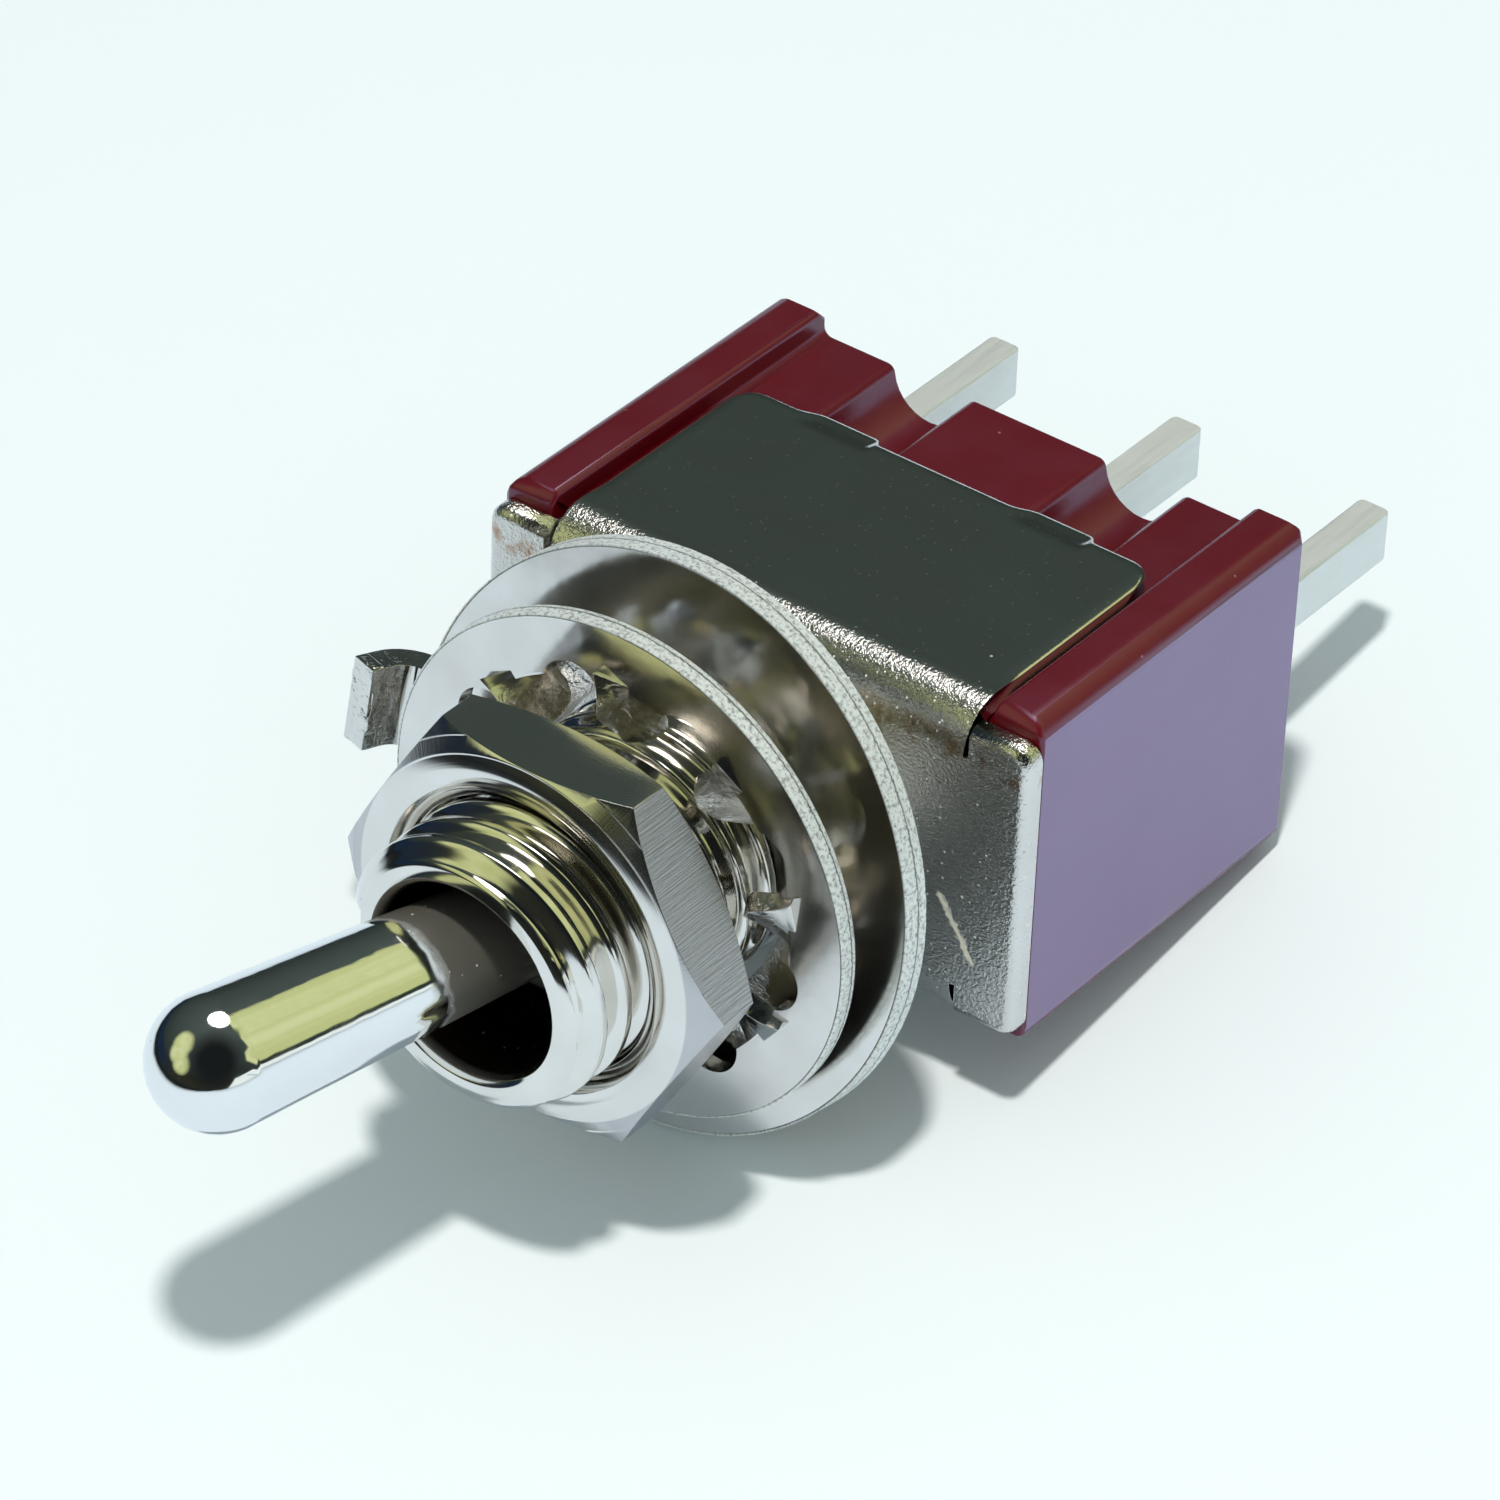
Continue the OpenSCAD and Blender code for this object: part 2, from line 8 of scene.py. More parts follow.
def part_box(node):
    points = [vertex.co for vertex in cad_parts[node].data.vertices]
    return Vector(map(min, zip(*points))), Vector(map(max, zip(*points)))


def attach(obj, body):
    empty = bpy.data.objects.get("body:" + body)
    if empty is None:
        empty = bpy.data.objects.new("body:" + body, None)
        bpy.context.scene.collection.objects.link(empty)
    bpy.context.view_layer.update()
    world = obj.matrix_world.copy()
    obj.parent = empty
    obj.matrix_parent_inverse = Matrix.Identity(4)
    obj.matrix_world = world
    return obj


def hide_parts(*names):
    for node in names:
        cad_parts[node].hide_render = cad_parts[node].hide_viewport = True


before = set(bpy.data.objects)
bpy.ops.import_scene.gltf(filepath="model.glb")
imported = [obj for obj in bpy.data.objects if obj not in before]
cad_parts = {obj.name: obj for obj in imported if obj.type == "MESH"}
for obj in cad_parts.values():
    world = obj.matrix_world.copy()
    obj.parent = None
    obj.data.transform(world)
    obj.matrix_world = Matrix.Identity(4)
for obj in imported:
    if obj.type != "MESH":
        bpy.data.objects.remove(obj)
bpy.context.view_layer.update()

# A miniature panel toggle switch. Lengths are worked out in millimetres and multiplied by
# MM where they meet Blender. The bushing's axis is the Y axis, and the lever points to -Y.
MM = 0.001
scene = bpy.context.scene
# The noise that crumples the punched metal would follow the clock without a seed of its own.
CRUMPLE_SEED = 1795457227
noise.seed_set(CRUMPLE_SEED)

# ---------------------------------------------------------------- sizes the pieces share

def reach(node, side, axis):
    """How far a node of the frame reaches in millimetres: side 0 is its low end, 1 its high end."""
    return round(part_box(node)[side][axis] / MM, 3)


CASE_END = reach("case", 1, 0)
SHEET_T = 0.45
LEG_TOP = reach("mounting_frame", 1, 2)
BEND_R = 1.0
THREAD_R = 2.95
BUSHING_L = -reach("bushing", 0, 1)
MOUTH_R = 2.15
LEVER_LEAN = math.radians(13.3)
KEYED_R = 6.1
KEYED_T = 0.63
LOCK_R = reach("lock_washer", 1, 0)
LOCK_T = 0.42
LOCK_H = -(reach("lock_washer", 0, 1) + reach("lock_washer", 1, 1)) / 2
TOOTH_ROOT_R = 4.2
NUT_R = reach("nut", 1, 2)
NUT_BACK = -reach("nut", 1, 1)
NUT_FRONT = -reach("nut", 0, 1)
# Each washer's own centre, and how it leans in degrees.
KEYED_PLACE = ((0, -2.9, -0.1), (-8.1, 2.0, -1.7))
LOCK_PLACE = ((0, -LOCK_H, 0), (0, 0, 0))
# A handling scratch on the frame's right ear, and the height of the crease under its upper bend.
SCRATCH_FROM = (4.76, 0.0, -0.73)
SCRATCH_TO = (5.58, 0.0, -1.97)
SCRATCH_HALF_W = 0.09
CREASE_Z = 2.8


# ---------------------------------------------------------------- small tools

def linear(hex_colour):
    """An sRGB hex colour as linear RGBA."""
    parts = [int(hex_colour[i:i + 2], 16) / 255 for i in (1, 3, 5)]
    return tuple(c / 12.92 if c <= 0.04045 else ((c + 0.055) / 1.055) ** 2.4 for c in parts) + (1.0,)


def smooth_step(value):
    """0 below 0, 1 above 1, and an even curve between them."""
    value = min(1.0, max(0.0, value))
    return value * value * (3 - 2 * value)


def add_node(tree, kind, inputs=None, **settings):
    """Adds a node with its settings. An input is a value, a socket, or a node's first result."""
    made = tree.nodes.new(kind)
    for key, value in settings.items():
        setattr(made, key, value)
    for key, value in (inputs or {}).items():
        if isinstance(value, bpy.types.Node):
            value = next(result for result in value.outputs if result.enabled)
        if isinstance(value, bpy.types.NodeSocket):
            tree.links.new(value, made.inputs[key])
        else:
            made.inputs[key].default_value = value
    return made


def only(piece):
    """Selects this piece and nothing else."""
    if bpy.context.mode != "OBJECT":
        bpy.ops.object.mode_set(mode="OBJECT")
    bpy.ops.object.select_all(action="DESELECT")
    piece.select_set(True)
    bpy.context.view_layer.objects.active = piece
    return piece


def edit(piece, mode="EDGE"):
    """Opens this piece in edit mode with nothing selected."""
    only(piece)
    bpy.ops.object.mode_set(mode="EDIT")
    bpy.ops.mesh.select_mode(type=mode)
    bpy.ops.mesh.select_all(action="DESELECT")
    return bmesh.from_edit_mesh(piece.data)


def apply_modifiers(piece):
    """Applies every modifier of the piece."""
    only(piece)
    for modifier in list(piece.modifiers):
        bpy.ops.object.modifier_apply(modifier=modifier.name)


def smoothed(piece, angle):
    """Shades the piece smooth over edges flatter than this angle in degrees."""
    only(piece)
    bpy.ops.object.shade_smooth_by_angle(angle=math.radians(angle))
    return piece


def finish_piece(piece, body, node, material):
    """Puts the piece on its body with its finish, and hides the node it stands in for."""
    piece.data.materials.clear()
    piece.data.materials.append(material)
    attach(piece, body)
    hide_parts(node)


def merged_copy(node, name, weld=0.0005, whole_faces=True):
    """A copy of a node's mesh, welded and merged into whole faces, to be shaped further."""
    piece = bpy.data.objects.new(name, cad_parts[node].data.copy())
    scene.collection.objects.link(piece)
    edit(piece)
    bpy.ops.mesh.select_all(action="SELECT")
    bpy.ops.mesh.remove_doubles(threshold=weld * MM)
    if whole_faces:
        bpy.ops.mesh.dissolve_limited(angle_limit=math.radians(0.6))
    bpy.ops.object.mode_set(mode="OBJECT")
    return piece


def weighted_normals(piece):
    """Lets the large faces set the normals, so that flat faces stay flat."""
    modifier = piece.modifiers.new("flat_faces_stay_flat", "WEIGHTED_NORMAL")
    modifier.keep_sharp = True
    apply_modifiers(piece)
    return piece


def round_edges(piece, width, sharpness=35, segments=2, where=None, clamp=True):
    """Rounds the edges of the piece sharper than the given angle, where the place allows it."""
    mesh = edit(piece)
    for edge in mesh.edges:
        if len(edge.link_faces) == 2 and edge.calc_face_angle(0) > math.radians(sharpness):
            if where is None or where((edge.verts[0].co + edge.verts[1].co) / 2 / MM):
                edge.select_set(True)
    bmesh.update_edit_mesh(piece.data)
    bpy.ops.mesh.bevel(offset=width * MM, segments=segments, profile=0.5, clamp_overlap=clamp)
    bpy.ops.object.mode_set(mode="OBJECT")
    return weighted_normals(smoothed(piece, 55))


def spun(name, profile, steps):
    """A closed turned shape on the Y axis from [radius, distance in front of the frame]."""
    mesh = bpy.data.meshes.new(name)
    points = [(r * MM, -h * MM, 0) for r, h in profile]
    count = len(points)
    mesh.from_pydata(points, [(i, (i + 1) % count) for i in range(count)], [])
    piece = bpy.data.objects.new(name, mesh)
    scene.collection.objects.link(piece)
    edit(piece, "VERT")
    bpy.ops.mesh.select_all(action="SELECT")
    bpy.ops.mesh.spin(steps=steps, angle=2 * math.pi, center=(0, 0, 0), axis=(0, 1, 0))
    bpy.ops.mesh.select_all(action="SELECT")
    bpy.ops.mesh.remove_doubles(threshold=0.001 * MM)
    bpy.ops.mesh.normals_make_consistent(inside=False)
    bpy.ops.object.mode_set(mode="OBJECT")
    return piece


def place_applied(piece):
    """Moves the piece's place into its mesh."""
    only(piece)
    bpy.ops.object.transform_apply(location=True, rotation=True, scale=True)
    return piece


def axial_bar(name, radius, length, middle, vertices, turn=0):
    """A round or many-sided bar along the bushing's axis, its middle at [x, y, z]."""
    bpy.ops.object.select_all(action="DESELECT")
    bpy.ops.mesh.primitive_cylinder_add(vertices=vertices, radius=radius * MM, depth=length * MM,
                                        location=[c * MM for c in middle],
                                        rotation=(math.radians(90), math.radians(turn), 0))
    bar = bpy.context.object
    bar.name = name
    return place_applied(bar)


def cut(piece, tool, operation="DIFFERENCE"):
    """Cuts the piece with the tool, which is used up."""
    modifier = piece.modifiers.new("cut", "BOOLEAN")
    modifier.operation = operation
    modifier.solver = "EXACT"
    modifier.object = tool
    apply_modifiers(piece)
    bpy.data.objects.remove(tool)
    return piece


def joined(piece, *others):
    """Joins the other pieces into this one."""
    only(piece)
    for other in others:
        other.select_set(True)
    bpy.ops.object.join()
    return piece


def sheet_grid(name, columns, rows, point):
    """A grid whose corners run from point(-1, 0) to point(1, 1), in millimetres."""
    bpy.ops.object.select_all(action="DESELECT")
    bpy.ops.mesh.primitive_grid_add(x_subdivisions=columns, y_subdivisions=rows, size=1)
    grid = bpy.context.object
    grid.name = name
    for vertex in grid.data.vertices:
        vertex.co = Vector(point(2 * vertex.co.x, vertex.co.y + 0.5)) * MM
    return grid


def thickened(piece, wall, offset):
    """Gives the sheet its wall, with every face turned outwards."""
    modifier = piece.modifiers.new("wall", "SOLIDIFY")
    modifier.thickness = wall * MM
    modifier.offset = offset
    apply_modifiers(piece)
    edit(piece)
    bpy.ops.mesh.select_all(action="SELECT")
    bpy.ops.mesh.normals_make_consistent(inside=False)
    bpy.ops.object.mode_set(mode="OBJECT")
    return piece


# ---------------------------------------------------------------- finishes

# Node inputs are named where the name is theirs alone, and numbered otherwise. A colour Mix takes
# its share as 0 and its colours as 6 and 7. A Map Range takes its value as 0, the range it reads
# as 1 and 2, and the range it gives as 3 and 4. A noise's Scale is its cells in a millimetre.

def begin_finish(name):
    """An empty material, its node tree, and the position in object millimetres."""
    material = bpy.data.materials.new(name)
    material.use_nodes = True
    tree = material.node_tree
    tree.nodes.clear()
    coordinates = add_node(tree, "ShaderNodeTexCoord")
    place = add_node(tree, "ShaderNodeVectorMath",
                     {0: coordinates.outputs["Object"], 1: (1 / MM, 1 / MM, 1 / MM)},
                     operation="MULTIPLY")
    return material, tree, place


def end_finish(tree, surface):
    """Closes a material with a Principled shader, its inputs given by name."""
    shader = add_node(tree, "ShaderNodeBsdfPrincipled", surface)
    add_node(tree, "ShaderNodeOutputMaterial", {"Surface": shader})


def specks(tree, place, spacing, size, share=0.45):
    """Scattered round specks, their size being their radius: 1 on a speck and 0 beside it."""
    cells = add_node(tree, "ShaderNodeTexVoronoi", {"Vector": place, "Scale": 1 / spacing})
    near = add_node(tree, "ShaderNodeMapRange",
                    {0: cells.outputs["Distance"], 1: size / spacing, 2: 0.6 * size / spacing})
    pick = add_node(tree, "ShaderNodeSeparateColor", {0: cells.outputs["Color"]})
    chosen = add_node(tree, "ShaderNodeMath", {0: pick, 1: share}, operation="LESS_THAN")
    return add_node(tree, "ShaderNodeMath", {0: near, 1: chosen}, operation="MULTIPLY")


def axis_parts(tree, place):
    """The distance from the bushing's axis, the angle round it and the place along it."""
    split = add_node(tree, "ShaderNodeSeparateXYZ", {0: place})
    x, y, z = split.outputs
    across = add_node(tree, "ShaderNodeCombineXYZ", {"X": x, "Z": z})
    radius = add_node(tree, "ShaderNodeVectorMath", {0: across}, operation="LENGTH")
    angle = add_node(tree, "ShaderNodeMath", {0: z, 1: x}, operation="ARCTAN2")
    return radius, angle, y


def on_segment(tree, place, start, end, half_width):
    """1 on a ragged mark between two points in millimetres, 0 beside it."""
    run = Vector(end) - Vector(start)
    local = add_node(tree, "ShaderNodeVectorMath", {0: place, 1: start}, operation="SUBTRACT")
    share = add_node(tree, "ShaderNodeVectorMath", {0: local, 1: run / run.length_squared},
                     operation="DOT_PRODUCT")
    share = add_node(tree, "ShaderNodeClamp", {0: share})
    nearest = add_node(tree, "ShaderNodeVectorMath", {0: tuple(run), "Scale": share},
                       operation="SCALE")
    away = add_node(tree, "ShaderNodeVectorMath", {0: local, 1: nearest}, operation="DISTANCE")
    wander = 0.3
    ragged = add_node(tree, "ShaderNodeTexNoise", {"Vector": place, "Scale": 6.0, "Detail": 3.0})
    away = add_node(tree, "ShaderNodeMath", {0: ragged, 1: wander, 2: away},
                    operation="MULTIPLY_ADD")
    return add_node(tree, "ShaderNodeMapRange",
                    {0: away, 1: half_width + wander / 2, 2: 0.4 * half_width + wander / 2})


def patch(tree, direction, centre, inner, outer):
    """1 near a direction, falling to 0 between two angles from it in degrees."""
    cosine = add_node(tree, "ShaderNodeVectorMath", {0: direction, 1: Vector(centre).normalized()},
                      operation="DOT_PRODUCT")
    return add_node(tree, "ShaderNodeMapRange", {0: cosine, 1: math.cos(math.radians(outer)),
                                                 2: math.cos(math.radians(inner))})


def between(tree, value, low, high, soft):
    """1 between two values and 0 outside them, with soft ends."""
    rise = add_node(tree, "ShaderNodeMapRange", {0: value, 1: low - soft, 2: low + soft})
    fall = add_node(tree, "ShaderNodeMapRange", {0: value, 1: high + soft, 2: high - soft})
    return add_node(tree, "ShaderNodeMath", {0: rise, 1: fall}, operation="MULTIPLY")


def moulded_maroon(name, mirror, coat):
    """Thermoset moulding compound: deep red and hard, with faint flow marks and dust."""
    material, tree, place = begin_finish(name)
    drawn = add_node(tree, "ShaderNodeVectorMath", {0: place, 1: (0.5, 0.16, 0.5)},
                     operation="MULTIPLY")
    flow = add_node(tree, "ShaderNodeTexNoise", {"Vector": drawn, "Scale": 1.0, "Detail": 4.0})
    resin = add_node(tree, "ShaderNodeMix", {0: flow, 6: linear("#5b0009"), 7: linear("#69030d")},
                     data_type="RGBA")
    dust = specks(tree, place, 0.9, 0.035)
    tone = add_node(tree, "ShaderNodeMix", {0: dust, 6: resin, 7: linear("#9c6b68")},
                    data_type="RGBA")
    gloss = add_node(tree, "ShaderNodeTexNoise", {"Vector": place, "Scale": 0.7, "Detail": 3.0})
    rough = add_node(tree, "ShaderNodeMapRange", {0: gloss, 1: 0.3, 2: 0.7, 3: 0.28, 4: 0.36})
    rough = add_node(tree, "ShaderNodeMath", {0: dust, 1: 0.5, 2: rough}, operation="MULTIPLY_ADD")
    sink = add_node(tree, "ShaderNodeTexNoise", {"Vector": place, "Scale": 0.9})
    wave = add_node(tree, "ShaderNodeBump", {"Height": sink, "Distance": 0.015 * MM})
    grain = add_node(tree, "ShaderNodeTexNoise", {"Vector": place, "Scale": 9.0, "Detail": 3.0})
    normal = add_node(tree, "ShaderNodeBump",
                      {"Height": grain, "Distance": 0.0015 * MM, "Normal": wave})
    end_finish(tree, {"Base Color": tone, "Roughness": rough, "IOR": mirror,
                      "Specular IOR Level": 1.0, "Specular Tint": linear("#ccd0ff"),
                      "Coat Weight": coat, "Coat Roughness": 0.25, "Coat IOR": 1.9, "Normal": normal})
    return material


def plated_sheet():
    """Bright nickel on pressed steel sheet: smooth where flat, grained where it was stretched."""
    material, tree, place = begin_finish("nickel_plated_pressed_sheet")
    along = add_node(tree, "ShaderNodeSeparateXYZ", {0: place}).outputs["Y"]
    stretch = add_node(tree, "ShaderNodeMapRange",
                       {0: along, 1: BEND_R + 0.15, 2: BEND_R / 2, 3: 0.06, 4: 1.0})
    cloud = add_node(tree, "ShaderNodeTexNoise", {"Vector": place, "Scale": 0.45, "Detail": 4.0})
    plate = add_node(tree, "ShaderNodeMix", {0: cloud, 6: linear("#e9e8e3"), 7: linear("#d3cfc8")},
                     data_type="RGBA")
    # The plate's front is painted greyer than the legs: painted shade, for the shadowed floor and
    # washers that it mirrors.
    front = add_node(tree, "ShaderNodeMapRange", {0: along, 1: 0.06, 2: 0.0, 3: 0.0, 4: 0.7})
    plate = add_node(tree, "ShaderNodeMix", {0: front, 6: plate, 7: linear("#d2cfc8")},
                     data_type="RGBA")
    dust = specks(tree, place, 0.7, 0.04)
    tone = add_node(tree, "ShaderNodeMix", {0: dust, 6: plate, 7: linear("#e9efe9")},
                    data_type="RGBA")
    # Where the sheet was stretched, near-white specks 0.05 mm across are painted glints, standing in
    # for the plate's sparkle.
    painted_glints = specks(tree, place, 0.17, 0.03, 0.4)
    painted_glints = add_node(tree, "ShaderNodeMath", {0: painted_glints, 1: stretch}, operation="MULTIPLY")
    tone = add_node(tree, "ShaderNodeMix", {0: painted_glints, 6: tone, 7: linear("#fbfbf0")},
                    data_type="RGBA")
    # A brown bloom in the crease under the upper bend.
    across = add_node(tree, "ShaderNodeSeparateXYZ", {0: place}).outputs["Z"]
    crease = add_node(tree, "ShaderNodeMath", {0: across, 1: CREASE_Z}, operation="SUBTRACT")
    crease = add_node(tree, "ShaderNodeMath", {0: crease}, operation="ABSOLUTE")
    crease = add_node(tree, "ShaderNodeMapRange", {0: crease, 1: 0.4, 2: 0.1})
    patchy = add_node(tree, "ShaderNodeTexNoise", {"Vector": place, "Scale": 2.4, "Detail": 5.0})
    patchy = add_node(tree, "ShaderNodeMapRange", {0: patchy, 1: 0.48, 2: 0.62, 3: 0.0, 4: 0.7})
    bloom = add_node(tree, "ShaderNodeMath", {0: crease, 1: patchy}, operation="MULTIPLY")
    bloom = add_node(tree, "ShaderNodeMath", {0: bloom, 1: stretch}, operation="MULTIPLY")
    tone = add_node(tree, "ShaderNodeMix", {0: bloom, 6: tone, 7: linear("#a5764a")},
                    data_type="RGBA")
    scratch = on_segment(tree, place, SCRATCH_FROM, SCRATCH_TO, SCRATCH_HALF_W)
    tone = add_node(tree, "ShaderNodeMix", {0: scratch, 6: tone, 7: linear("#f4f0dc")},
                    data_type="RGBA")
    rough = add_node(tree, "ShaderNodeMapRange", {0: cloud, 1: 0.3, 2: 0.7, 3: 0.07, 4: 0.13})
    rough = add_node(tree, "ShaderNodeMath", {0: stretch, 1: 0.12, 2: rough},
                     operation="MULTIPLY_ADD")
    rough = add_node(tree, "ShaderNodeMath", {0: dust, 1: 0.5, 2: rough}, operation="MULTIPLY_ADD")
    # The scratch's bare steel and the painted glints are less metallic and rougher.
    scratch_and_glints = add_node(tree, "ShaderNodeMath", {0: scratch, 1: painted_glints}, operation="MAXIMUM")
    rough = add_node(tree, "ShaderNodeMath", {0: scratch_and_glints, 1: 0.5, 2: rough}, operation="MULTIPLY_ADD")
    steel = add_node(tree, "ShaderNodeMapRange", {0: scratch_and_glints, 3: 1.0, 4: 0.2})
    sag = add_node(tree, "ShaderNodeTexNoise", {"Vector": place, "Scale": 0.55})
    normal = add_node(tree, "ShaderNodeBump", {"Height": sag, "Distance": 0.012 * MM})
    # The grain is about 0.07 mm across, drawn a little coarser and deeper than it is.
    for scale, depth in ((6.0, 0.012), (14.0, 0.022)):
        grain = add_node(tree, "ShaderNodeTexNoise",
                         {"Vector": place, "Scale": scale, "Detail": 2.0, "Roughness": 0.6})
        peel = add_node(tree, "ShaderNodeMath", {0: grain, 1: stretch}, operation="MULTIPLY")
        normal = add_node(tree, "ShaderNodeBump",
                          {"Height": peel, "Distance": depth * MM, "Normal": normal})
    end_finish(tree, {"Base Color": tone, "Metallic": steel, "Roughness": rough, "Normal": normal})
    return material


def turned_nickel(name, colour, ring_depth, rough_low, rough_high, hatched=False, bore_r=0.0):
    """Bright nickel on turned brass: fine rings left by the tool and soft cloudy plating."""
    material, tree, place = begin_finish(name)
    radius, angle, along = axis_parts(tree, place)
    # The tool's rings, drawn a little coarser than they are.
    ring_gap = 0.05
    outward = add_node(tree, "ShaderNodeMath", {0: radius, 1: 1 / ring_gap}, operation="MULTIPLY")
    forward = add_node(tree, "ShaderNodeMath", {0: along, 1: 1 / ring_gap}, operation="MULTIPLY")
    rings = add_node(tree, "ShaderNodeCombineXYZ", {"X": outward, "Y": forward})
    ring = add_node(tree, "ShaderNodeTexNoise", {"Vector": rings, "Scale": 1.0, "Detail": 1.0})
    normal = add_node(tree, "ShaderNodeBump", {"Height": ring, "Distance": ring_depth * MM})
    cloud = add_node(tree, "ShaderNodeTexNoise", {"Vector": place, "Scale": 0.8, "Detail": 4.0})
    tone = add_node(tree, "ShaderNodeMix", {0: cloud, 6: linear(colour), 7: linear("#d9d5cd")},
                    data_type="RGBA")
    dust = specks(tree, place, 0.75, 0.03)
    tone = add_node(tree, "ShaderNodeMix", {0: dust, 6: tone, 7: linear("#eef2ee")},
                    data_type="RGBA")
    rough = add_node(tree, "ShaderNodeMapRange",
                     {0: cloud, 1: 0.3, 2: 0.7, 3: rough_low, 4: rough_high})
    if bore_r:
        # The plating doesn't reach into the bore, which is dull; its dark brown tone is painted shade
        # for the recess, strewn with light specks of grit.
        bore = add_node(tree, "ShaderNodeMapRange", {0: radius, 1: bore_r + 0.04, 2: bore_r - 0.04})
        grit = specks(tree, place, 0.3, 0.035)
        bore_shade_and_grit = add_node(tree, "ShaderNodeMix", {0: grit, 6: linear("#2e2622"), 7: linear("#b5a797")},
                          data_type="RGBA")
        tone = add_node(tree, "ShaderNodeMix", {0: bore, 6: tone, 7: bore_shade_and_grit}, data_type="RGBA")
        rough = add_node(tree, "ShaderNodeMath", {0: bore, 1: 0.3, 2: rough},
                         operation="MULTIPLY_ADD")
    if hatched:
        # The slanting flats carry a fine hatch along the axis, its lines 0.05 mm apart. The top
        # and bottom flats were milled with a fresh cutter and are smooth.
        lines_in_a_radian = 90.0
        slant = add_node(tree, "ShaderNodeMath", {0: angle}, operation="COSINE")
        slant = add_node(tree, "ShaderNodeMath", {0: slant}, operation="ABSOLUTE")
        slant = add_node(tree, "ShaderNodeMapRange", {0: slant, 1: 0.42, 2: 0.55})
        outside = add_node(tree, "ShaderNodeMapRange", {0: radius, 1: NUT_R - 0.03, 2: NUT_R})
        flat = add_node(tree, "ShaderNodeMath", {0: slant, 1: outside}, operation="MULTIPLY")
        round_it = add_node(tree, "ShaderNodeMath", {0: angle, 1: lines_in_a_radian},
                            operation="MULTIPLY")
        lines = add_node(tree, "ShaderNodeCombineXYZ", {"X": round_it, "Y": along})
        hatch = add_node(tree, "ShaderNodeTexNoise", {"Vector": lines, "Scale": 1.0, "Detail": 3.0})
        hatch = add_node(tree, "ShaderNodeMath", {0: hatch, 1: flat}, operation="MULTIPLY")
        normal = add_node(tree, "ShaderNodeBump",
                          {"Height": hatch, "Distance": 0.0035 * MM, "Normal": normal})
        rough = add_node(tree, "ShaderNodeMath", {0: flat, 1: 0.12, 2: rough},
                         operation="MULTIPLY_ADD")
        milled = add_node(tree, "ShaderNodeMath", {0: flat, 1: 0.6}, operation="MULTIPLY")
        tone = add_node(tree, "ShaderNodeMix", {0: milled, 6: tone, 7: linear("#a9a8ad")},
                        data_type="RGBA")
    end_finish(tree, {"Base Color": tone, "Metallic": 1.0, "Roughness": rough, "Normal": normal})
    return material


def polished_nickel():
    """Barrel-polished nickel: near mirror with a slow wobble and a little dust."""
    material, tree, place = begin_finish("polished_nickel_lever")
    dust = specks(tree, place, 0.5, 0.035)
    tone = add_node(tree, "ShaderNodeMix", {0: dust, 6: linear("#eeeeea"), 7: linear("#f8faf6")},
                    data_type="RGBA")
    # Where it goes into the bushing the lever is dull, and its brown-grey tone there is painted shade,
    # with light specks of grit.
    along = add_node(tree, "ShaderNodeSeparateXYZ", {0: place}).outputs["Y"]
    uneven_edge = add_node(tree, "ShaderNodeTexNoise", {"Vector": place, "Scale": 1.6, "Detail": 4.0})
    edge = add_node(tree, "ShaderNodeMath", {0: uneven_edge, 1: 0.5, 2: along}, operation="MULTIPLY_ADD")
    inside_mouth = add_node(tree, "ShaderNodeMapRange",
                    {0: edge, 1: -BUSHING_L - 0.36, 2: -BUSHING_L - 0.16})
    grit = specks(tree, place, 0.2, 0.03)
    mouth_shade_and_grit = add_node(tree, "ShaderNodeMix", {0: grit, 6: linear("#66635a"), 7: linear("#f4ead8")},
                     data_type="RGBA")
    tone = add_node(tree, "ShaderNodeMix", {0: inside_mouth, 6: tone, 7: mouth_shade_and_grit}, data_type="RGBA")
    metal = add_node(tree, "ShaderNodeMapRange", {0: inside_mouth, 3: 1.0, 4: 0.25})
    cloud = add_node(tree, "ShaderNodeTexNoise", {"Vector": place, "Scale": 1.2, "Detail": 4.0})
    rough = add_node(tree, "ShaderNodeMapRange", {0: cloud, 1: 0.3, 2: 0.7, 3: 0.05, 4: 0.1})
    rough = add_node(tree, "ShaderNodeMath", {0: inside_mouth, 1: 0.42, 2: rough}, operation="MULTIPLY_ADD")
    rough = add_node(tree, "ShaderNodeMath", {0: dust, 1: 0.4, 2: rough}, operation="MULTIPLY_ADD")
    wobble = add_node(tree, "ShaderNodeTexNoise", {"Vector": place, "Scale": 1.7, "Detail": 1.0})
    normal = add_node(tree, "ShaderNodeBump", {"Height": wobble, "Distance": 0.008 * MM})
    end_finish(tree, {"Base Color": tone, "Metallic": metal, "Roughness": rough, "Normal": normal})
    return material


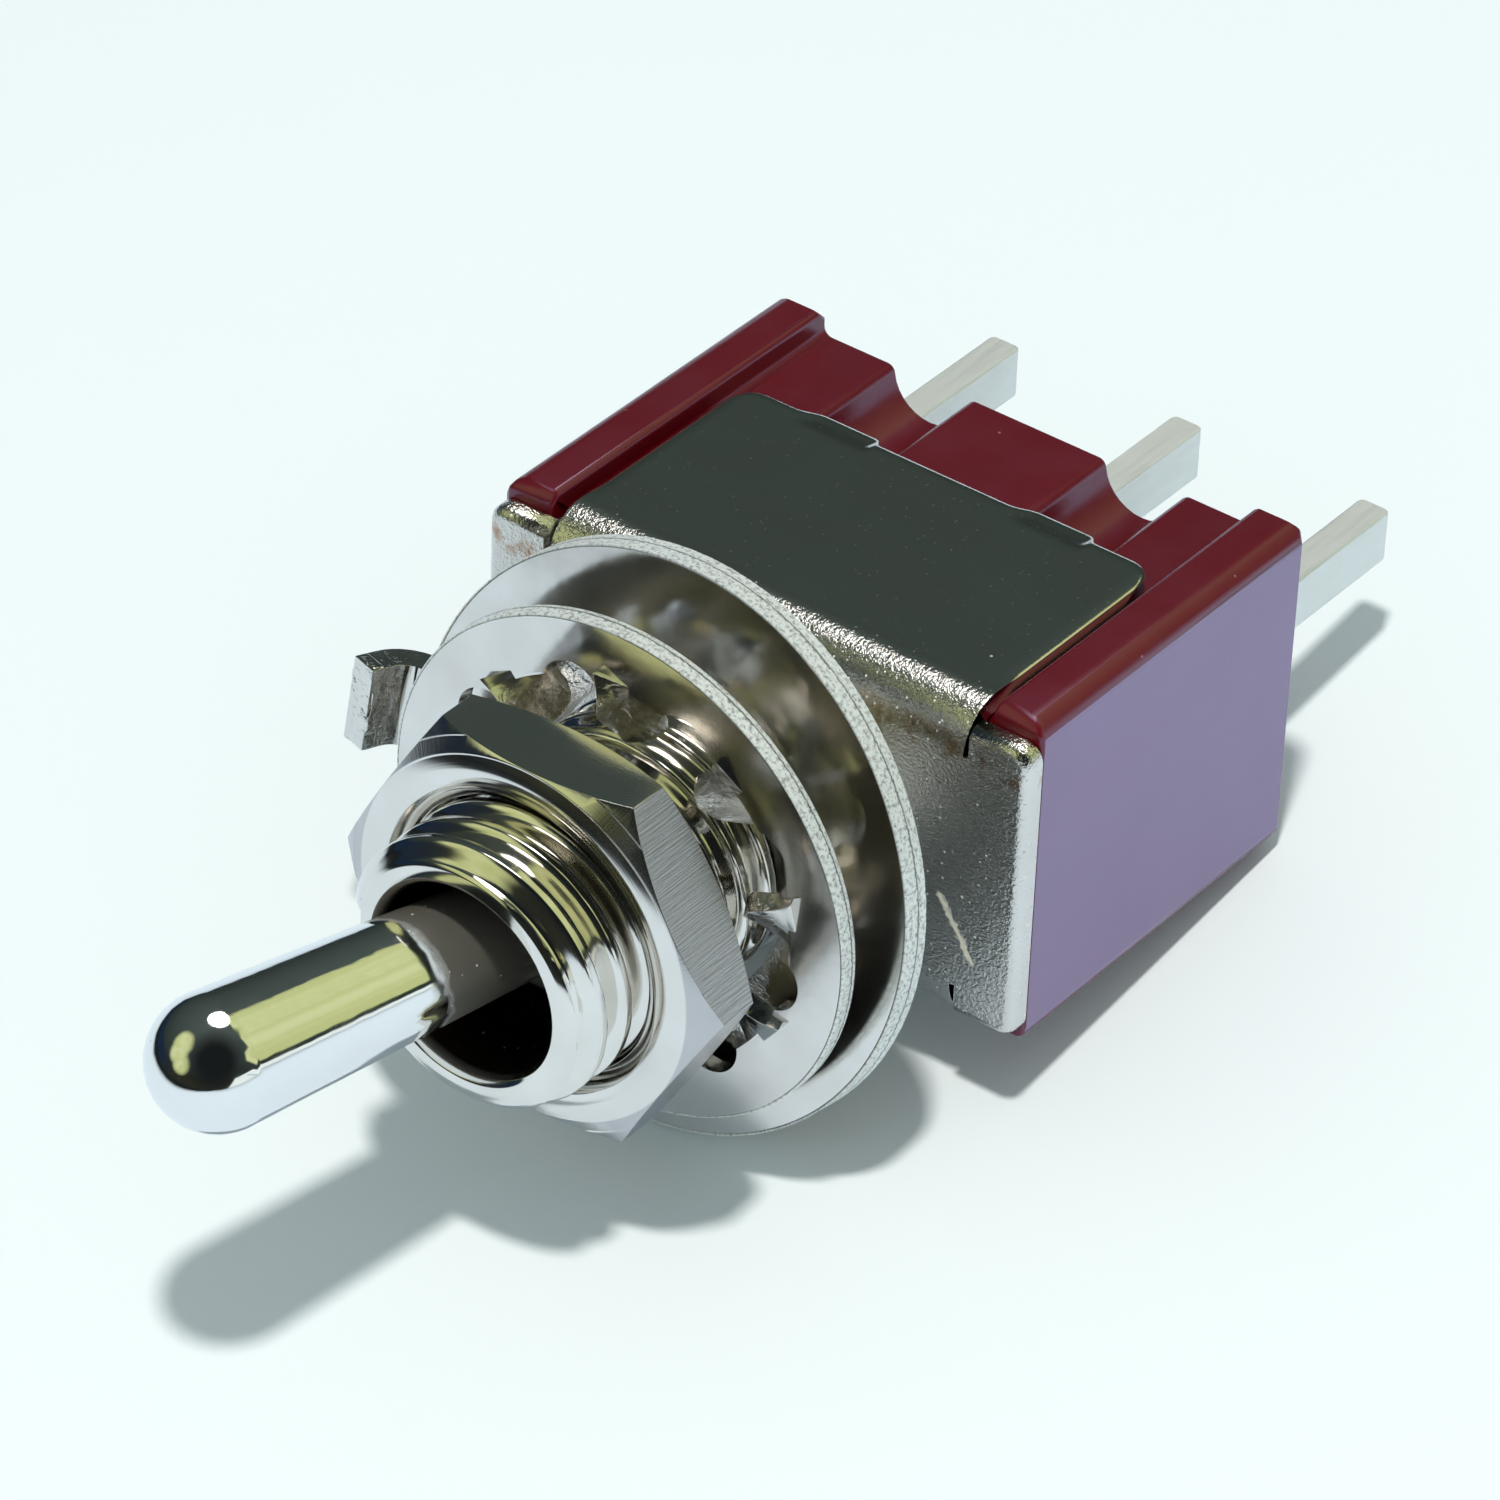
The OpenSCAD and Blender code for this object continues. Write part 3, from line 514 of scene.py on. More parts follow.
def sheared_washer(name, rim_radius, crease, own_place):
    """Nickel on blanked steel: bright faces, and a rim torn into short grain by the shear."""
    material, tree, place = begin_finish(name)
    location, turn = own_place
    wide, narrow = 0.06, 0.03
    own = add_node(tree, "ShaderNodeMapping",
                   {"Vector": place, "Location": location,
                    "Rotation": [math.radians(a) for a in turn]}, vector_type="TEXTURE")
    radius, angle, along = axis_parts(tree, own)
    inner = add_node(tree, "ShaderNodeMapRange",
                     {0: radius, 1: rim_radius - wide, 2: rim_radius - narrow})
    outer = add_node(tree, "ShaderNodeMapRange",
                     {0: radius, 1: rim_radius + wide, 2: rim_radius + narrow})
    rim = add_node(tree, "ShaderNodeMath", {0: inner, 1: outer}, operation="MULTIPLY")
    # Grain about 0.1 mm long round the rim, and a crease where the shear gave way to the tear.
    round_rim = add_node(tree, "ShaderNodeMath", {0: angle, 1: rim_radius}, operation="MULTIPLY")
    rim_place = add_node(tree, "ShaderNodeCombineXYZ", {"X": round_rim, "Y": along})
    torn = add_node(tree, "ShaderNodeTexNoise",
                    {"Vector": rim_place, "Scale": 10.0, "Detail": 4.0, "Roughness": 0.7})
    pits = add_node(tree, "ShaderNodeMapRange", {0: torn, 1: 0.48, 2: 0.66, 3: 0.0, 4: 0.7})
    wander = 0.16
    stray = add_node(tree, "ShaderNodeMath", {0: torn, 1: wander, 2: along},
                     operation="MULTIPLY_ADD")
    line = add_node(tree, "ShaderNodeMath", {0: stray, 1: crease + wander / 2},
                    operation="SUBTRACT")
    line = add_node(tree, "ShaderNodeMath", {0: line}, operation="ABSOLUTE")
    line = add_node(tree, "ShaderNodeMapRange", {0: line, 1: 0.03, 2: 0.012, 3: 0.0, 4: 0.85})
    dark = add_node(tree, "ShaderNodeMath", {0: pits, 1: line}, operation="MAXIMUM")
    # The rim's near-white tone is a painted highlight, the sparkle of the torn grain; its pits and
    # crease are darker.
    grain = add_node(tree, "ShaderNodeMix", {0: dark, 6: linear("#f6faf6"), 7: linear("#4a4c45")},
                     data_type="RGBA")
    cloud = add_node(tree, "ShaderNodeTexNoise", {"Vector": place, "Scale": 0.5, "Detail": 5.0})
    tone = add_node(tree, "ShaderNodeMix", {0: cloud, 6: linear("#ebeae6"), 7: linear("#cfc9c0")},
                    data_type="RGBA")
    dust = specks(tree, place, 0.8, 0.04)
    tone = add_node(tree, "ShaderNodeMix", {0: dust, 6: tone, 7: linear("#eceee9")},
                    data_type="RGBA")
    tone = add_node(tree, "ShaderNodeMix", {0: rim, 6: tone, 7: grain}, data_type="RGBA")
    metal = add_node(tree, "ShaderNodeMapRange", {0: rim, 3: 1.0, 4: 0.4})
    rough = add_node(tree, "ShaderNodeMapRange", {0: cloud, 1: 0.3, 2: 0.7, 3: 0.1, 4: 0.22})
    rough = add_node(tree, "ShaderNodeMath", {0: rim, 1: 0.25, 2: rough}, operation="MULTIPLY_ADD")
    sag = add_node(tree, "ShaderNodeTexNoise", {"Vector": place, "Scale": 0.6, "Detail": 3.0})
    normal = add_node(tree, "ShaderNodeBump", {"Height": sag, "Distance": 0.014 * MM})
    tear = add_node(tree, "ShaderNodeMath", {0: torn, 1: rim}, operation="MULTIPLY")
    normal = add_node(tree, "ShaderNodeBump",
                      {"Height": tear, "Distance": 0.06 * MM, "Normal": normal})
    # The lock washer's teeth and the keyed washer's tab are crumpled by the punch.
    inside = add_node(tree, "ShaderNodeMapRange",
                      {0: radius, 1: TOOTH_ROOT_R + 0.05, 2: TOOTH_ROOT_R - 0.3})
    beyond = add_node(tree, "ShaderNodeMapRange", {0: radius, 1: KEYED_R + 0.4, 2: KEYED_R + 0.6})
    worked = add_node(tree, "ShaderNodeMath", {0: inside, 1: beyond}, operation="MAXIMUM")
    crumple = add_node(tree, "ShaderNodeTexNoise",
                       {"Vector": place, "Scale": 3.0, "Detail": 4.0, "Roughness": 0.6})
    crumple = add_node(tree, "ShaderNodeMath", {0: crumple, 1: worked}, operation="MULTIPLY")
    normal = add_node(tree, "ShaderNodeBump",
                      {"Height": crumple, "Distance": 0.05 * MM, "Normal": normal})
    end_finish(tree, {"Base Color": tone, "Metallic": metal, "Roughness": rough, "Normal": normal})
    return material


def matt_silver(name, colour, rough_low, rough_high, metallic=1.0):
    """Matt silver plate: soft and even, with faint streaks along the strip."""
    material, tree, place = begin_finish(name)
    drawn = add_node(tree, "ShaderNodeVectorMath", {0: place, 1: (9.0, 0.6, 9.0)},
                     operation="MULTIPLY")
    streak = add_node(tree, "ShaderNodeTexNoise", {"Vector": drawn, "Scale": 1.0, "Detail": 4.0})
    cloud = add_node(tree, "ShaderNodeTexNoise", {"Vector": place, "Scale": 1.1, "Detail": 4.0})
    tone = add_node(tree, "ShaderNodeMix", {0: cloud, 6: linear(colour), 7: linear("#e6e8e3")},
                    data_type="RGBA")
    rough = add_node(tree, "ShaderNodeMapRange",
                     {0: streak, 1: 0.3, 2: 0.7, 3: rough_low, 4: rough_high})
    lines = add_node(tree, "ShaderNodeBump", {"Height": streak, "Distance": 0.006 * MM})
    grain = add_node(tree, "ShaderNodeTexNoise", {"Vector": place, "Scale": 12.0, "Detail": 3.0})
    normal = add_node(tree, "ShaderNodeBump",
                      {"Height": grain, "Distance": 0.003 * MM, "Normal": lines})
    end_finish(tree, {"Base Color": tone, "Metallic": metallic, "Roughness": rough, "Normal": normal})
    return material


def natural_nylon():
    """Natural nylon: creamy, slightly translucent, with fine tooling marks."""
    material, tree, place = begin_finish("natural_nylon")
    cloud = add_node(tree, "ShaderNodeTexNoise", {"Vector": place, "Scale": 1.5, "Detail": 3.0})
    tone = add_node(tree, "ShaderNodeMix", {0: cloud, 6: linear("#e4dfcc"), 7: linear("#efeadb")},
                    data_type="RGBA")
    rough = add_node(tree, "ShaderNodeMapRange", {0: cloud, 1: 0.3, 2: 0.7, 3: 0.35, 4: 0.5})
    marks = add_node(tree, "ShaderNodeTexNoise", {"Vector": place, "Scale": 14.0})
    normal = add_node(tree, "ShaderNodeBump", {"Height": marks, "Distance": 0.002 * MM})
    end_finish(tree, {"Base Color": tone, "Roughness": rough, "Subsurface Weight": 0.2,
                      "Subsurface Scale": 0.5 * MM, "Normal": normal})
    return material


CASE_FINISH = moulded_maroon("moulded_maroon_thermoset", mirror=1.45, coat=0.15)
# The mould's end walls are polished, so the case's ends shine and take the blue of the room.
CASE_END_FINISH = moulded_maroon("glossy_maroon_thermoset", mirror=2.3, coat=0.35)
FRAME_FINISH = plated_sheet()
BUSHING_FINISH = turned_nickel("nickel_plated_turned_bushing", "#efece5", ring_depth=0.0002,
                               rough_low=0.07, rough_high=0.12, bore_r=MOUTH_R - 0.03)
NUT_FINISH = turned_nickel("nickel_plated_turned_nut", "#ebe8e3", ring_depth=0.0006,
                           rough_low=0.09, rough_high=0.15, hatched=True)
LEVER_FINISH = polished_nickel()
# A washer's crease runs this far along its own axis from the middle of its place.
KEYED_FINISH = sheared_washer("nickel_plated_keyed_washer", KEYED_R, 0.38, KEYED_PLACE)
LOCK_FINISH = sheared_washer("nickel_plated_lock_washer", LOCK_R, 0.08, LOCK_PLACE)
PIN_FINISH = matt_silver("matt_silver_plated_pins", "#eef2f0", 0.5, 0.62, metallic=0.75)
STRIP_FINISH = matt_silver("silver_plated_strip", "#d8d9d4", 0.25, 0.4)
SILVER_FINISH = matt_silver("silver_contact_rivet", "#e2e3e0", 0.18, 0.3)
SPRING_FINISH = matt_silver("drawn_spring_wire", "#9a9ea0", 0.22, 0.35)
NYLON_FINISH = natural_nylon()


# ---------------------------------------------------------------- pieces

# The case: its edges softly rounded, as moulded. Its finest steps are welded first.
CASE_WELD = 0.04
CASE_ROUND = 0.08
case = merged_copy("case", "moulded_case", CASE_WELD)
round_edges(case, CASE_ROUND, 50, 3, clamp=False)
finish_piece(case, "housing", "case", CASE_FINISH)
case.data.materials.append(CASE_END_FINISH)
for face in case.data.polygons:
    if abs(face.normal.x) > 0.98 and abs(face.center.x) > (CASE_END - 0.1) * MM:
        face.material_index = 1

# The mounting frame: the plate and its ears are the node's own, and each leg is a sheet that
# bends back from the plate, with rolled-over edges, pressed into the two flutes at its rear.
LEG_W = 10.2
LEG_L = 6.35
LEG_CORNER_R = 0.6
LEG_ROUND = 0.1
BEND_Z = LEG_TOP - BEND_R
# Share of the grid's rows that goes to the bend, and how far the leg stands off the node's faces.
BEND_SHARE = 0.25
PROUD = 0.004
# A crimp swells over its rise and ends in a step. It begins a little before the leg's end.
FLUTE_X = 2.65
CRIMP_HALF_W = 0.85
CRIMP_RISE = 0.6
CRIMP_STEP = 0.26
CRIMP_OVER = 0.1
CRIMP_REACH = 0.27
CRIMP_DROP = 0.09
CRIMP_FROM = 0.5
CRIMP_RAMP = 0.6
# How wide and how deep the leg's side and rear edges roll over.
SIDE_ROLL_W, SIDE_ROLL_DROP, SIDE_ROLL_RAMP = 0.3, 0.045, 0.9
REAR_ROLL_W, REAR_ROLL_DROP = 0.2, 0.03
EAR_FROM_X = LEG_W / 2 + 0.15
EAR_ROLL = 0.24
EAR_REAR_ROUND = 0.05


def crimp_share(x):
    """1 in the middle of a crimp and 0 beside it: it swells slowly and ends in a small step."""
    offset = x - math.copysign(FLUTE_X, x)
    rise = smooth_step((offset + CRIMP_HALF_W + CRIMP_RISE / 2) / CRIMP_RISE)
    fall = smooth_step((CRIMP_HALF_W + CRIMP_OVER - offset) / CRIMP_STEP)
    return rise * fall


def leg_point(u, t):
    """A point of the upper leg's outer face: u is -1 to 1 across it, t is 0 to 1 along it."""
    x = u * LEG_W / 2
    if t < BEND_SHARE:
        turn = math.radians(90) * t / BEND_SHARE
        outer_r = BEND_R + PROUD
        return x, BEND_R - outer_r * math.cos(turn), BEND_Z + outer_r * math.sin(turn)
    t = (t - BEND_SHARE) / (1 - BEND_SHARE)
    past = max(0.0, abs(x) - (LEG_W / 2 - LEG_CORNER_R))
    corner = LEG_CORNER_R - math.sqrt(max(0.0, LEG_CORNER_R ** 2 - past ** 2))
    crimp = crimp_share(x)
    end = LEG_L - corner + CRIMP_REACH * crimp
    y = BEND_R + (end - BEND_R) * t
    pressed = smooth_step((y - LEG_L + CRIMP_FROM) / CRIMP_RAMP)
    side = max(0.0, (abs(x) - LEG_W / 2 + SIDE_ROLL_W) / SIDE_ROLL_W) ** 2
    side *= smooth_step((y - BEND_R) / SIDE_ROLL_RAMP)
    rear = max(0.0, (y - end + REAR_ROLL_W) / REAR_ROLL_W) ** 2
    drop = CRIMP_DROP * crimp * pressed + SIDE_ROLL_DROP * side + REAR_ROLL_DROP * rear
    return x, y, LEG_TOP + PROUD - drop


def frame_leg(name, mirror):
    """One leg of the frame with its bend."""
    def placed(u, t):
        x, y, z = leg_point(u, t)
        return x, y, mirror * z
    leg = thickened(sheet_grid(name, 150, 80, placed), SHEET_T, -mirror)
    return round_edges(leg, LEG_ROUND, 50, 3, lambda middle: middle.y > LEG_ROUND / 2)


sheet = merged_copy("mounting_frame", "pressed_frame")
edit(sheet)
bpy.ops.mesh.select_all(action="SELECT")
bpy.ops.mesh.bisect(plane_co=(0, (SHEET_T + 0.01) * MM, 0), plane_no=(0, 1, 0), use_fill=True,
                    clear_outer=True)
bpy.ops.object.mode_set(mode="OBJECT")
# The front edges of the ears are rolled over by the blanking tool, the rear ones are sharp.
round_edges(sheet, EAR_ROLL, 60, 5, lambda middle: abs(middle.x) > EAR_FROM_X and middle.y < 0.01)
round_edges(sheet, EAR_REAR_ROUND, 60, 2,
            lambda middle: abs(middle.x) > EAR_FROM_X and middle.y > SHEET_T - 0.01)
joined(sheet, frame_leg("upper_leg", 1), frame_leg("lower_leg", -1))
finish_piece(sheet, "housing", "mounting_frame", FRAME_FINISH)

# The bushing: its thread is a true right-hand helix, run out at both ends.
THREAD_PITCH = 0.75
THREAD_DEPTH = 0.4
THREAD_FROM = 0.5
THREAD_LOW, THREAD_HIGH = 0.3, BUSHING_L - 0.08
THREAD_ROWS = 280
TURN_STEPS = 144
CREST_SHARE = 0.24
ROOT_SHARE = 0.14
END_CHAMFER = 0.37
RIM_ROUND = 0.06
BALL_PIVOT = 5.2
SEAT_R = 2.03
THROAT_R = 1.6
BORE_R = 2.05
NECK_R = 2.6
FLANGE_R = 3.0
FLANGE_L = 0.8
KEYWAY_W = 1.15
KEYWAY_DEPTH = 0.5
KEYWAY_FROM = 0.5


def arc_points(x, y, r, start, end, steps):
    """Points along an arc, in degrees."""
    angles = [math.radians(start + (end - start) * i / steps) for i in range(steps + 1)]
    return [(x + r * math.cos(a), y + r * math.sin(a)) for a in angles]


def bushing_profile():
    """The bushing's section: up the bore and the ball's seat, over the rim and down the outside."""
    throat = BALL_PIVOT + math.sqrt(SEAT_R ** 2 - THROAT_R ** 2)
    outer_r = THREAD_R - END_CHAMFER
    points = [(BORE_R + 0.2, -FLANGE_L), (BORE_R, 1.6), (BORE_R, BALL_PIVOT)]
    points += arc_points(0, BALL_PIVOT, SEAT_R, 0, math.degrees(math.acos(THROAT_R / SEAT_R)), 10)
    points += [(THROAT_R + 0.03, throat + 0.1), (MOUTH_R - 0.03, BUSHING_L - 0.12),
               (MOUTH_R + RIM_ROUND, BUSHING_L - 0.02), (MOUTH_R + 2 * RIM_ROUND, BUSHING_L),
               (outer_r - RIM_ROUND, BUSHING_L), (outer_r - 0.02, BUSHING_L - 0.015),
               (outer_r + 0.03, BUSHING_L - 0.05)]
    row_drop = (THREAD_HIGH - THREAD_LOW) / THREAD_ROWS
    points += [(THREAD_R, THREAD_HIGH - i * row_drop) for i in range(THREAD_ROWS + 1)]
    return points + [(THREAD_R, 0.05), (THREAD_R - 0.05, 0), (NECK_R, 0), (NECK_R, -SHEET_T),
                     (FLANGE_R - 0.05, -SHEET_T), (FLANGE_R, -SHEET_T - 0.05),
                     (FLANGE_R, -FLANGE_L + 0.04), (FLANGE_R - 0.05, -FLANGE_L)]


def thread_radius(angle, height):
    """Radius of the helix: flat crests and roots, softly joined, running out at both ends."""
    phase = (height / THREAD_PITCH + angle / (2 * math.pi)) % 1
    from_crest = 0.5 - abs(phase - 0.5)
    share = (from_crest - CREST_SHARE / 2) / (0.5 - (CREST_SHARE + ROOT_SHARE) / 2)
    share = min(1.0, max(0.0, share))
    drop = 0.45 * share + 0.55 * smooth_step(share)
    fade = smooth_step((height - THREAD_FROM) / (0.6 * THREAD_PITCH))
    chamfer = THREAD_R - END_CHAMFER + (BUSHING_L - height)
    return min(THREAD_R - THREAD_DEPTH * drop * fade, chamfer)


bushing = spun("threaded_bushing", bushing_profile(), TURN_STEPS)
for vertex in bushing.data.vertices:
    x, y, z = vertex.co / MM
    if abs(math.hypot(x, z) - THREAD_R) < 0.002 and THREAD_LOW - 0.01 < -y < THREAD_HIGH + 0.02:
        angle = math.atan2(z, x)
        radius = thread_radius(-angle, -y)
        vertex.co = Vector((radius * math.cos(angle), y, radius * math.sin(angle))) * MM
bpy.ops.object.select_all(action="DESELECT")
keyway_to = BUSHING_L + 1
keyway_middle = (-THREAD_R, -(KEYWAY_FROM + keyway_to) / 2, 0)
bpy.ops.mesh.primitive_cube_add(size=1, location=[c * MM for c in keyway_middle])
keyway = bpy.context.object
keyway.scale = Vector((2 * KEYWAY_DEPTH, keyway_to - KEYWAY_FROM, KEYWAY_W)) * MM
cut(bushing, place_applied(keyway))
finish_piece(smoothed(bushing, 50), "housing", "bushing", BUSHING_FINISH)

# The lever: turned and polished, its end a full round.
lever = weighted_normals(smoothed(merged_copy("lever", "bat_lever", whole_faces=False), 30))
finish_piece(lever, "lever", "lever", LEVER_FINISH)

# The keyed washer: blanked, with rounded edges, and a tab whose sheared end is crumpled.
TAB_X = -6.15
TAB_BEND_R = 0.5
TAB_BEND = 75
TAB_W = 1.85
TAB_END_L = 0.5
TAB_ROUND = 0.11
KEYED_ROUND = 0.045
# The crumpled end starts as a block with rounded corners, and is pushed about by a noise.
BURR_SIZE = Vector((0.3, KEYED_T + 0.02, TAB_W + 0.02))
BURR_CUTS = 14
BURR_CORNER = 0.14
BURR_CORNER_DEPTH = 0.05
BURR_DEPTH = 0.09
BURR_GRAIN = 3.1
BURR_FROM_END = 0.17

keyed = merged_copy("keyed_washer", "keyed_washer_blank")
round_edges(keyed, TAB_ROUND, 60, 3, lambda middle: middle.x < TAB_X - 0.25)
round_edges(keyed, KEYED_ROUND, 60, 2, lambda middle: middle.x > TAB_X - 0.1)
bpy.ops.object.select_all(action="DESELECT")
bpy.ops.mesh.primitive_cube_add(size=1)
burr = bpy.context.object
edit(burr, "FACE")
bpy.ops.mesh.select_all(action="SELECT")
bpy.ops.mesh.subdivide(number_cuts=BURR_CUTS)
bpy.ops.object.mode_set(mode="OBJECT")
for vertex in burr.data.vertices:
    spot = vertex.co * BURR_SIZE
    past = [max(0.0, abs(c) - 0.5 + BURR_CORNER) / BURR_CORNER for c in vertex.co]
    corner = Vector([math.copysign(share, c) for share, c in zip(past, vertex.co)])
    spot -= corner * (BURR_CORNER_DEPTH * max(0.0, corner.length - 1))
    push = BURR_DEPTH * (0.5 - vertex.co.x)
    vertex.co = spot + push * noise.noise_vector(spot * BURR_GRAIN)
centre, lean = KEYED_PLACE
turn = Euler([math.radians(a) for a in lean]).to_matrix().to_4x4()
washer_place = Matrix.Translation(centre) @ turn
bend = Matrix.Rotation(math.radians(TAB_BEND), 4, "Z")
tab_place = Matrix.Translation((TAB_X, -TAB_BEND_R, 0)) @ bend
burr_place = Matrix.Translation((BURR_FROM_END - TAB_END_L, TAB_BEND_R + KEYED_T / 2, 0))
burr.data.transform(Matrix.Scale(MM, 4) @ washer_place @ tab_place @ burr_place)
# It reaches no further than the tab does.
tab_reach = min(vertex.co.x for vertex in keyed.data.vertices)
for vertex in burr.data.vertices:
    vertex.co.x = max(vertex.co.x, tab_reach)
joined(keyed, smoothed(burr, 60))
finish_piece(keyed, "housing", "keyed_washer", KEYED_FINISH)

# The lock washer: a ring punched out between its teeth, and teeth twisted and curled by the punch.
TOOTH_COUNT = 9
TOOTH_PITCH = 2 * math.pi / TOOTH_COUNT
FIRST_GAP = math.radians(28)
TOOTH_TIP_R = 3.14
TOOTH_HALF_W = 0.6
TOOTH_ROOT_FLARE = 0.2
TOOTH_TIP_FLARE = 0.14
TIP_HOLLOW = 0.12
TIP_RAGGED = 0.1
# The tip's corners are rounded off over the last third of the tooth.
TIP_FROM = 0.66
TIP_NARROWING = 0.34
TWIST_AT_ROOT, TWIST_ADDED = 14, 30
CURL = 0.12
TOOTH_ROUND = 0.15
HOLE_ROUND = 0.09
LOCK_RIM_ROUND = 0.04
GAP_R = 0.72
GAP_MIDDLE_R = 3.82
# How far a tooth's root and a cutting tool reach past what they join or cut.
OVERLAP = 0.2
TOOL_L = 1


def lock_tooth(index):
    """A tooth that narrows at its waist, twists more towards its end and has a crumpled tip."""
    middle = FIRST_GAP + (index + 0.5) * TOOTH_PITCH
    root = TOOTH_ROOT_R + OVERLAP

    def point(u, t):
        ragged = TIP_RAGGED * noise.noise(Vector((0.8 * u, index, 0)))
        tip = TOOTH_TIP_R + TIP_HOLLOW * u * u + ragged
        outward = root + (tip - root) * t
        flare = TOOTH_ROOT_FLARE * (1 - t) ** 3 + TOOTH_TIP_FLARE * t * t
        narrowing = TIP_NARROWING * smooth_step((t - TIP_FROM) / (1 - TIP_FROM)) ** 2
        across = u * (TOOTH_HALF_W + flare - narrowing)
        twist = math.radians(TWIST_AT_ROOT + TWIST_ADDED * t)
        curl = CURL * noise.noise_vector(Vector((0.8 * u, 0.9 * t, 3.7 * index))) * t
        side = across * math.cos(twist) + curl.x
        return (outward * math.cos(middle) - side * math.sin(middle),
                -LOCK_H - across * math.sin(twist) + curl.y,
                outward * math.sin(middle) + side * math.cos(middle))
    tooth = thickened(sheet_grid("tooth", 12, 10, point), LOCK_T, 0)
    return round_edges(tooth, TOOTH_ROUND, 50, 4)


toothed = axial_bar("toothed_lock_washer", LOCK_R, LOCK_T, (0, -LOCK_H, 0), 160)
cut(toothed, axial_bar("bore", TOOTH_ROOT_R, TOOL_L, (0, -LOCK_H, 0), 120))
for i in range(TOOTH_COUNT):
    angle = FIRST_GAP + i * TOOTH_PITCH
    spot = (GAP_MIDDLE_R * math.cos(angle), -LOCK_H, GAP_MIDDLE_R * math.sin(angle))
    cut(toothed, axial_bar("gap", GAP_R, TOOL_L, spot, 40))
round_edges(toothed, HOLE_ROUND, 50, 3,
            lambda middle: math.hypot(middle.x, middle.z) < LOCK_R - 0.1)
round_edges(toothed, LOCK_RIM_ROUND, 50, 2,
            lambda middle: math.hypot(middle.x, middle.z) > LOCK_R - 0.1)
joined(toothed, *[lock_tooth(i) for i in range(TOOTH_COUNT)])
finish_piece(toothed, "housing", "lock_washer", LOCK_FINISH)

# The nut is turned with a stepped chamfer on its front, then milled to six flats.
NUT_CORNER_ROUND = 0.03
MILL_L = 4
# The front's steps, from the rim inwards: the radius, and how far each lies behind the front.
NUT_STEPS = ((4.66, 0.5), (4.3, 0.27), (4.27, 0.27), (3.98, 0.11), (3.95, 0.11), (3.72, 0.01),
             (3.6, 0), (3.34, 0), (3.3, 0.02), (3.02, 0.26), (3.0, 0.3))


def nut_profile():
    """The nut's section before milling: over the back from the bore, then over the front."""
    back = [(3.0, NUT_BACK + 0.2), (3.2, NUT_BACK), (3.85, NUT_BACK), (4.66, NUT_BACK + 0.45)]
    return back + [(radius, NUT_FRONT - behind) for radius, behind in NUT_STEPS]


hexagon = spun("hexagon_nut", nut_profile(), TURN_STEPS)
nut_middle = (0, -0.5 * (NUT_BACK + NUT_FRONT), 0)
cut(hexagon, axial_bar("flats", 2 * NUT_R / math.sqrt(3), MILL_L, nut_middle, 6, 90), "INTERSECT")
round_edges(hexagon, NUT_CORNER_ROUND, 18, 2,
            lambda middle: math.hypot(middle.x, middle.z) > NUT_R - 0.1)
finish_piece(hexagon, "nut", "nut", NUT_FINISH)

# The board pins: stamped from strip, their edges taken off by the plating drum.
PIN_ROUND = 0.06
for side in ("left", "common", "right"):
    pin = round_edges(merged_copy("terminal_" + side, "board_pin_" + side), PIN_ROUND, 35, 3)
    finish_piece(pin, "housing", "terminal_" + side, PIN_FINISH)

# What sits inside keeps its own shape and gets its finish.
INSIDE = {"plunger": NYLON_FINISH, "plunger_spring": SPRING_FINISH, "rocker": STRIP_FINISH,
          "rocker_contact_left": SILVER_FINISH, "rocker_contact_right": SILVER_FINISH,
          "contact_left": SILVER_FINISH, "contact_right": SILVER_FINISH}
for name, finish in INSIDE.items():
    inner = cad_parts[name]
    inner.data.materials.clear()
    inner.data.materials.append(finish)


# ---------------------------------------------------------------- floor, light and camera

# The switch rests on its keyed washer and the rear edge of its case, so the floor leans.
FLOOR_LEAN = math.radians(9.6)
FLOOR_SIZE = 1.2
# In reflections only, the card is painted bluish white, and in front and to the left of the switch it
# is painted dark between these two distances in millimetres: a painted reflection of a card that ends,
# so that reflections at a low angle run out into the dark.
AHEAD = Vector((-0.75, -0.66, 0.0))
CARD_WHOLE, CARD_GONE = 45.0, 80.0
up = Vector((0, -math.sin(FLOOR_LEAN), math.cos(FLOOR_LEAN)))
lowest = min(up.dot(v.co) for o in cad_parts.values() for v in o.data.vertices)

bpy.ops.object.select_all(action="DESELECT")
bpy.ops.mesh.primitive_plane_add(size=FLOOR_SIZE)
floor = bpy.context.object
floor.name = "floor"
floor.rotation_euler = (FLOOR_LEAN, 0, 0)
floor.location = up * lowest
floor_material, tree, place = begin_finish("matt_white_card")
fibre = add_node(tree, "ShaderNodeTexNoise", {"Vector": place, "Scale": 0.02, "Detail": 3.0})
card = add_node(tree, "ShaderNodeMix", {0: fibre, 6: linear("#f4fbfb"), 7: linear("#f6fcfb")},
                data_type="RGBA")
ahead = add_node(tree, "ShaderNodeVectorMath", {0: place, 1: AHEAD}, operation="DOT_PRODUCT")
beyond = add_node(tree, "ShaderNodeMapRange", {0: ahead, 1: CARD_WHOLE, 2: CARD_GONE})
painted_reflection = add_node(tree, "ShaderNodeMix", {0: beyond, 6: linear("#e9f4ff"), 7: linear("#26292a")},
                    data_type="RGBA")
gloss = add_node(tree, "ShaderNodeLightPath").outputs["Is Glossy Ray"]
card = add_node(tree, "ShaderNodeMix", {0: gloss, 6: card, 7: painted_reflection}, data_type="RGBA")
end_finish(tree, {"Base Color": card, "Roughness": 0.9, "Specular IOR Level": 0.0})
floor.data.materials.append(floor_material)

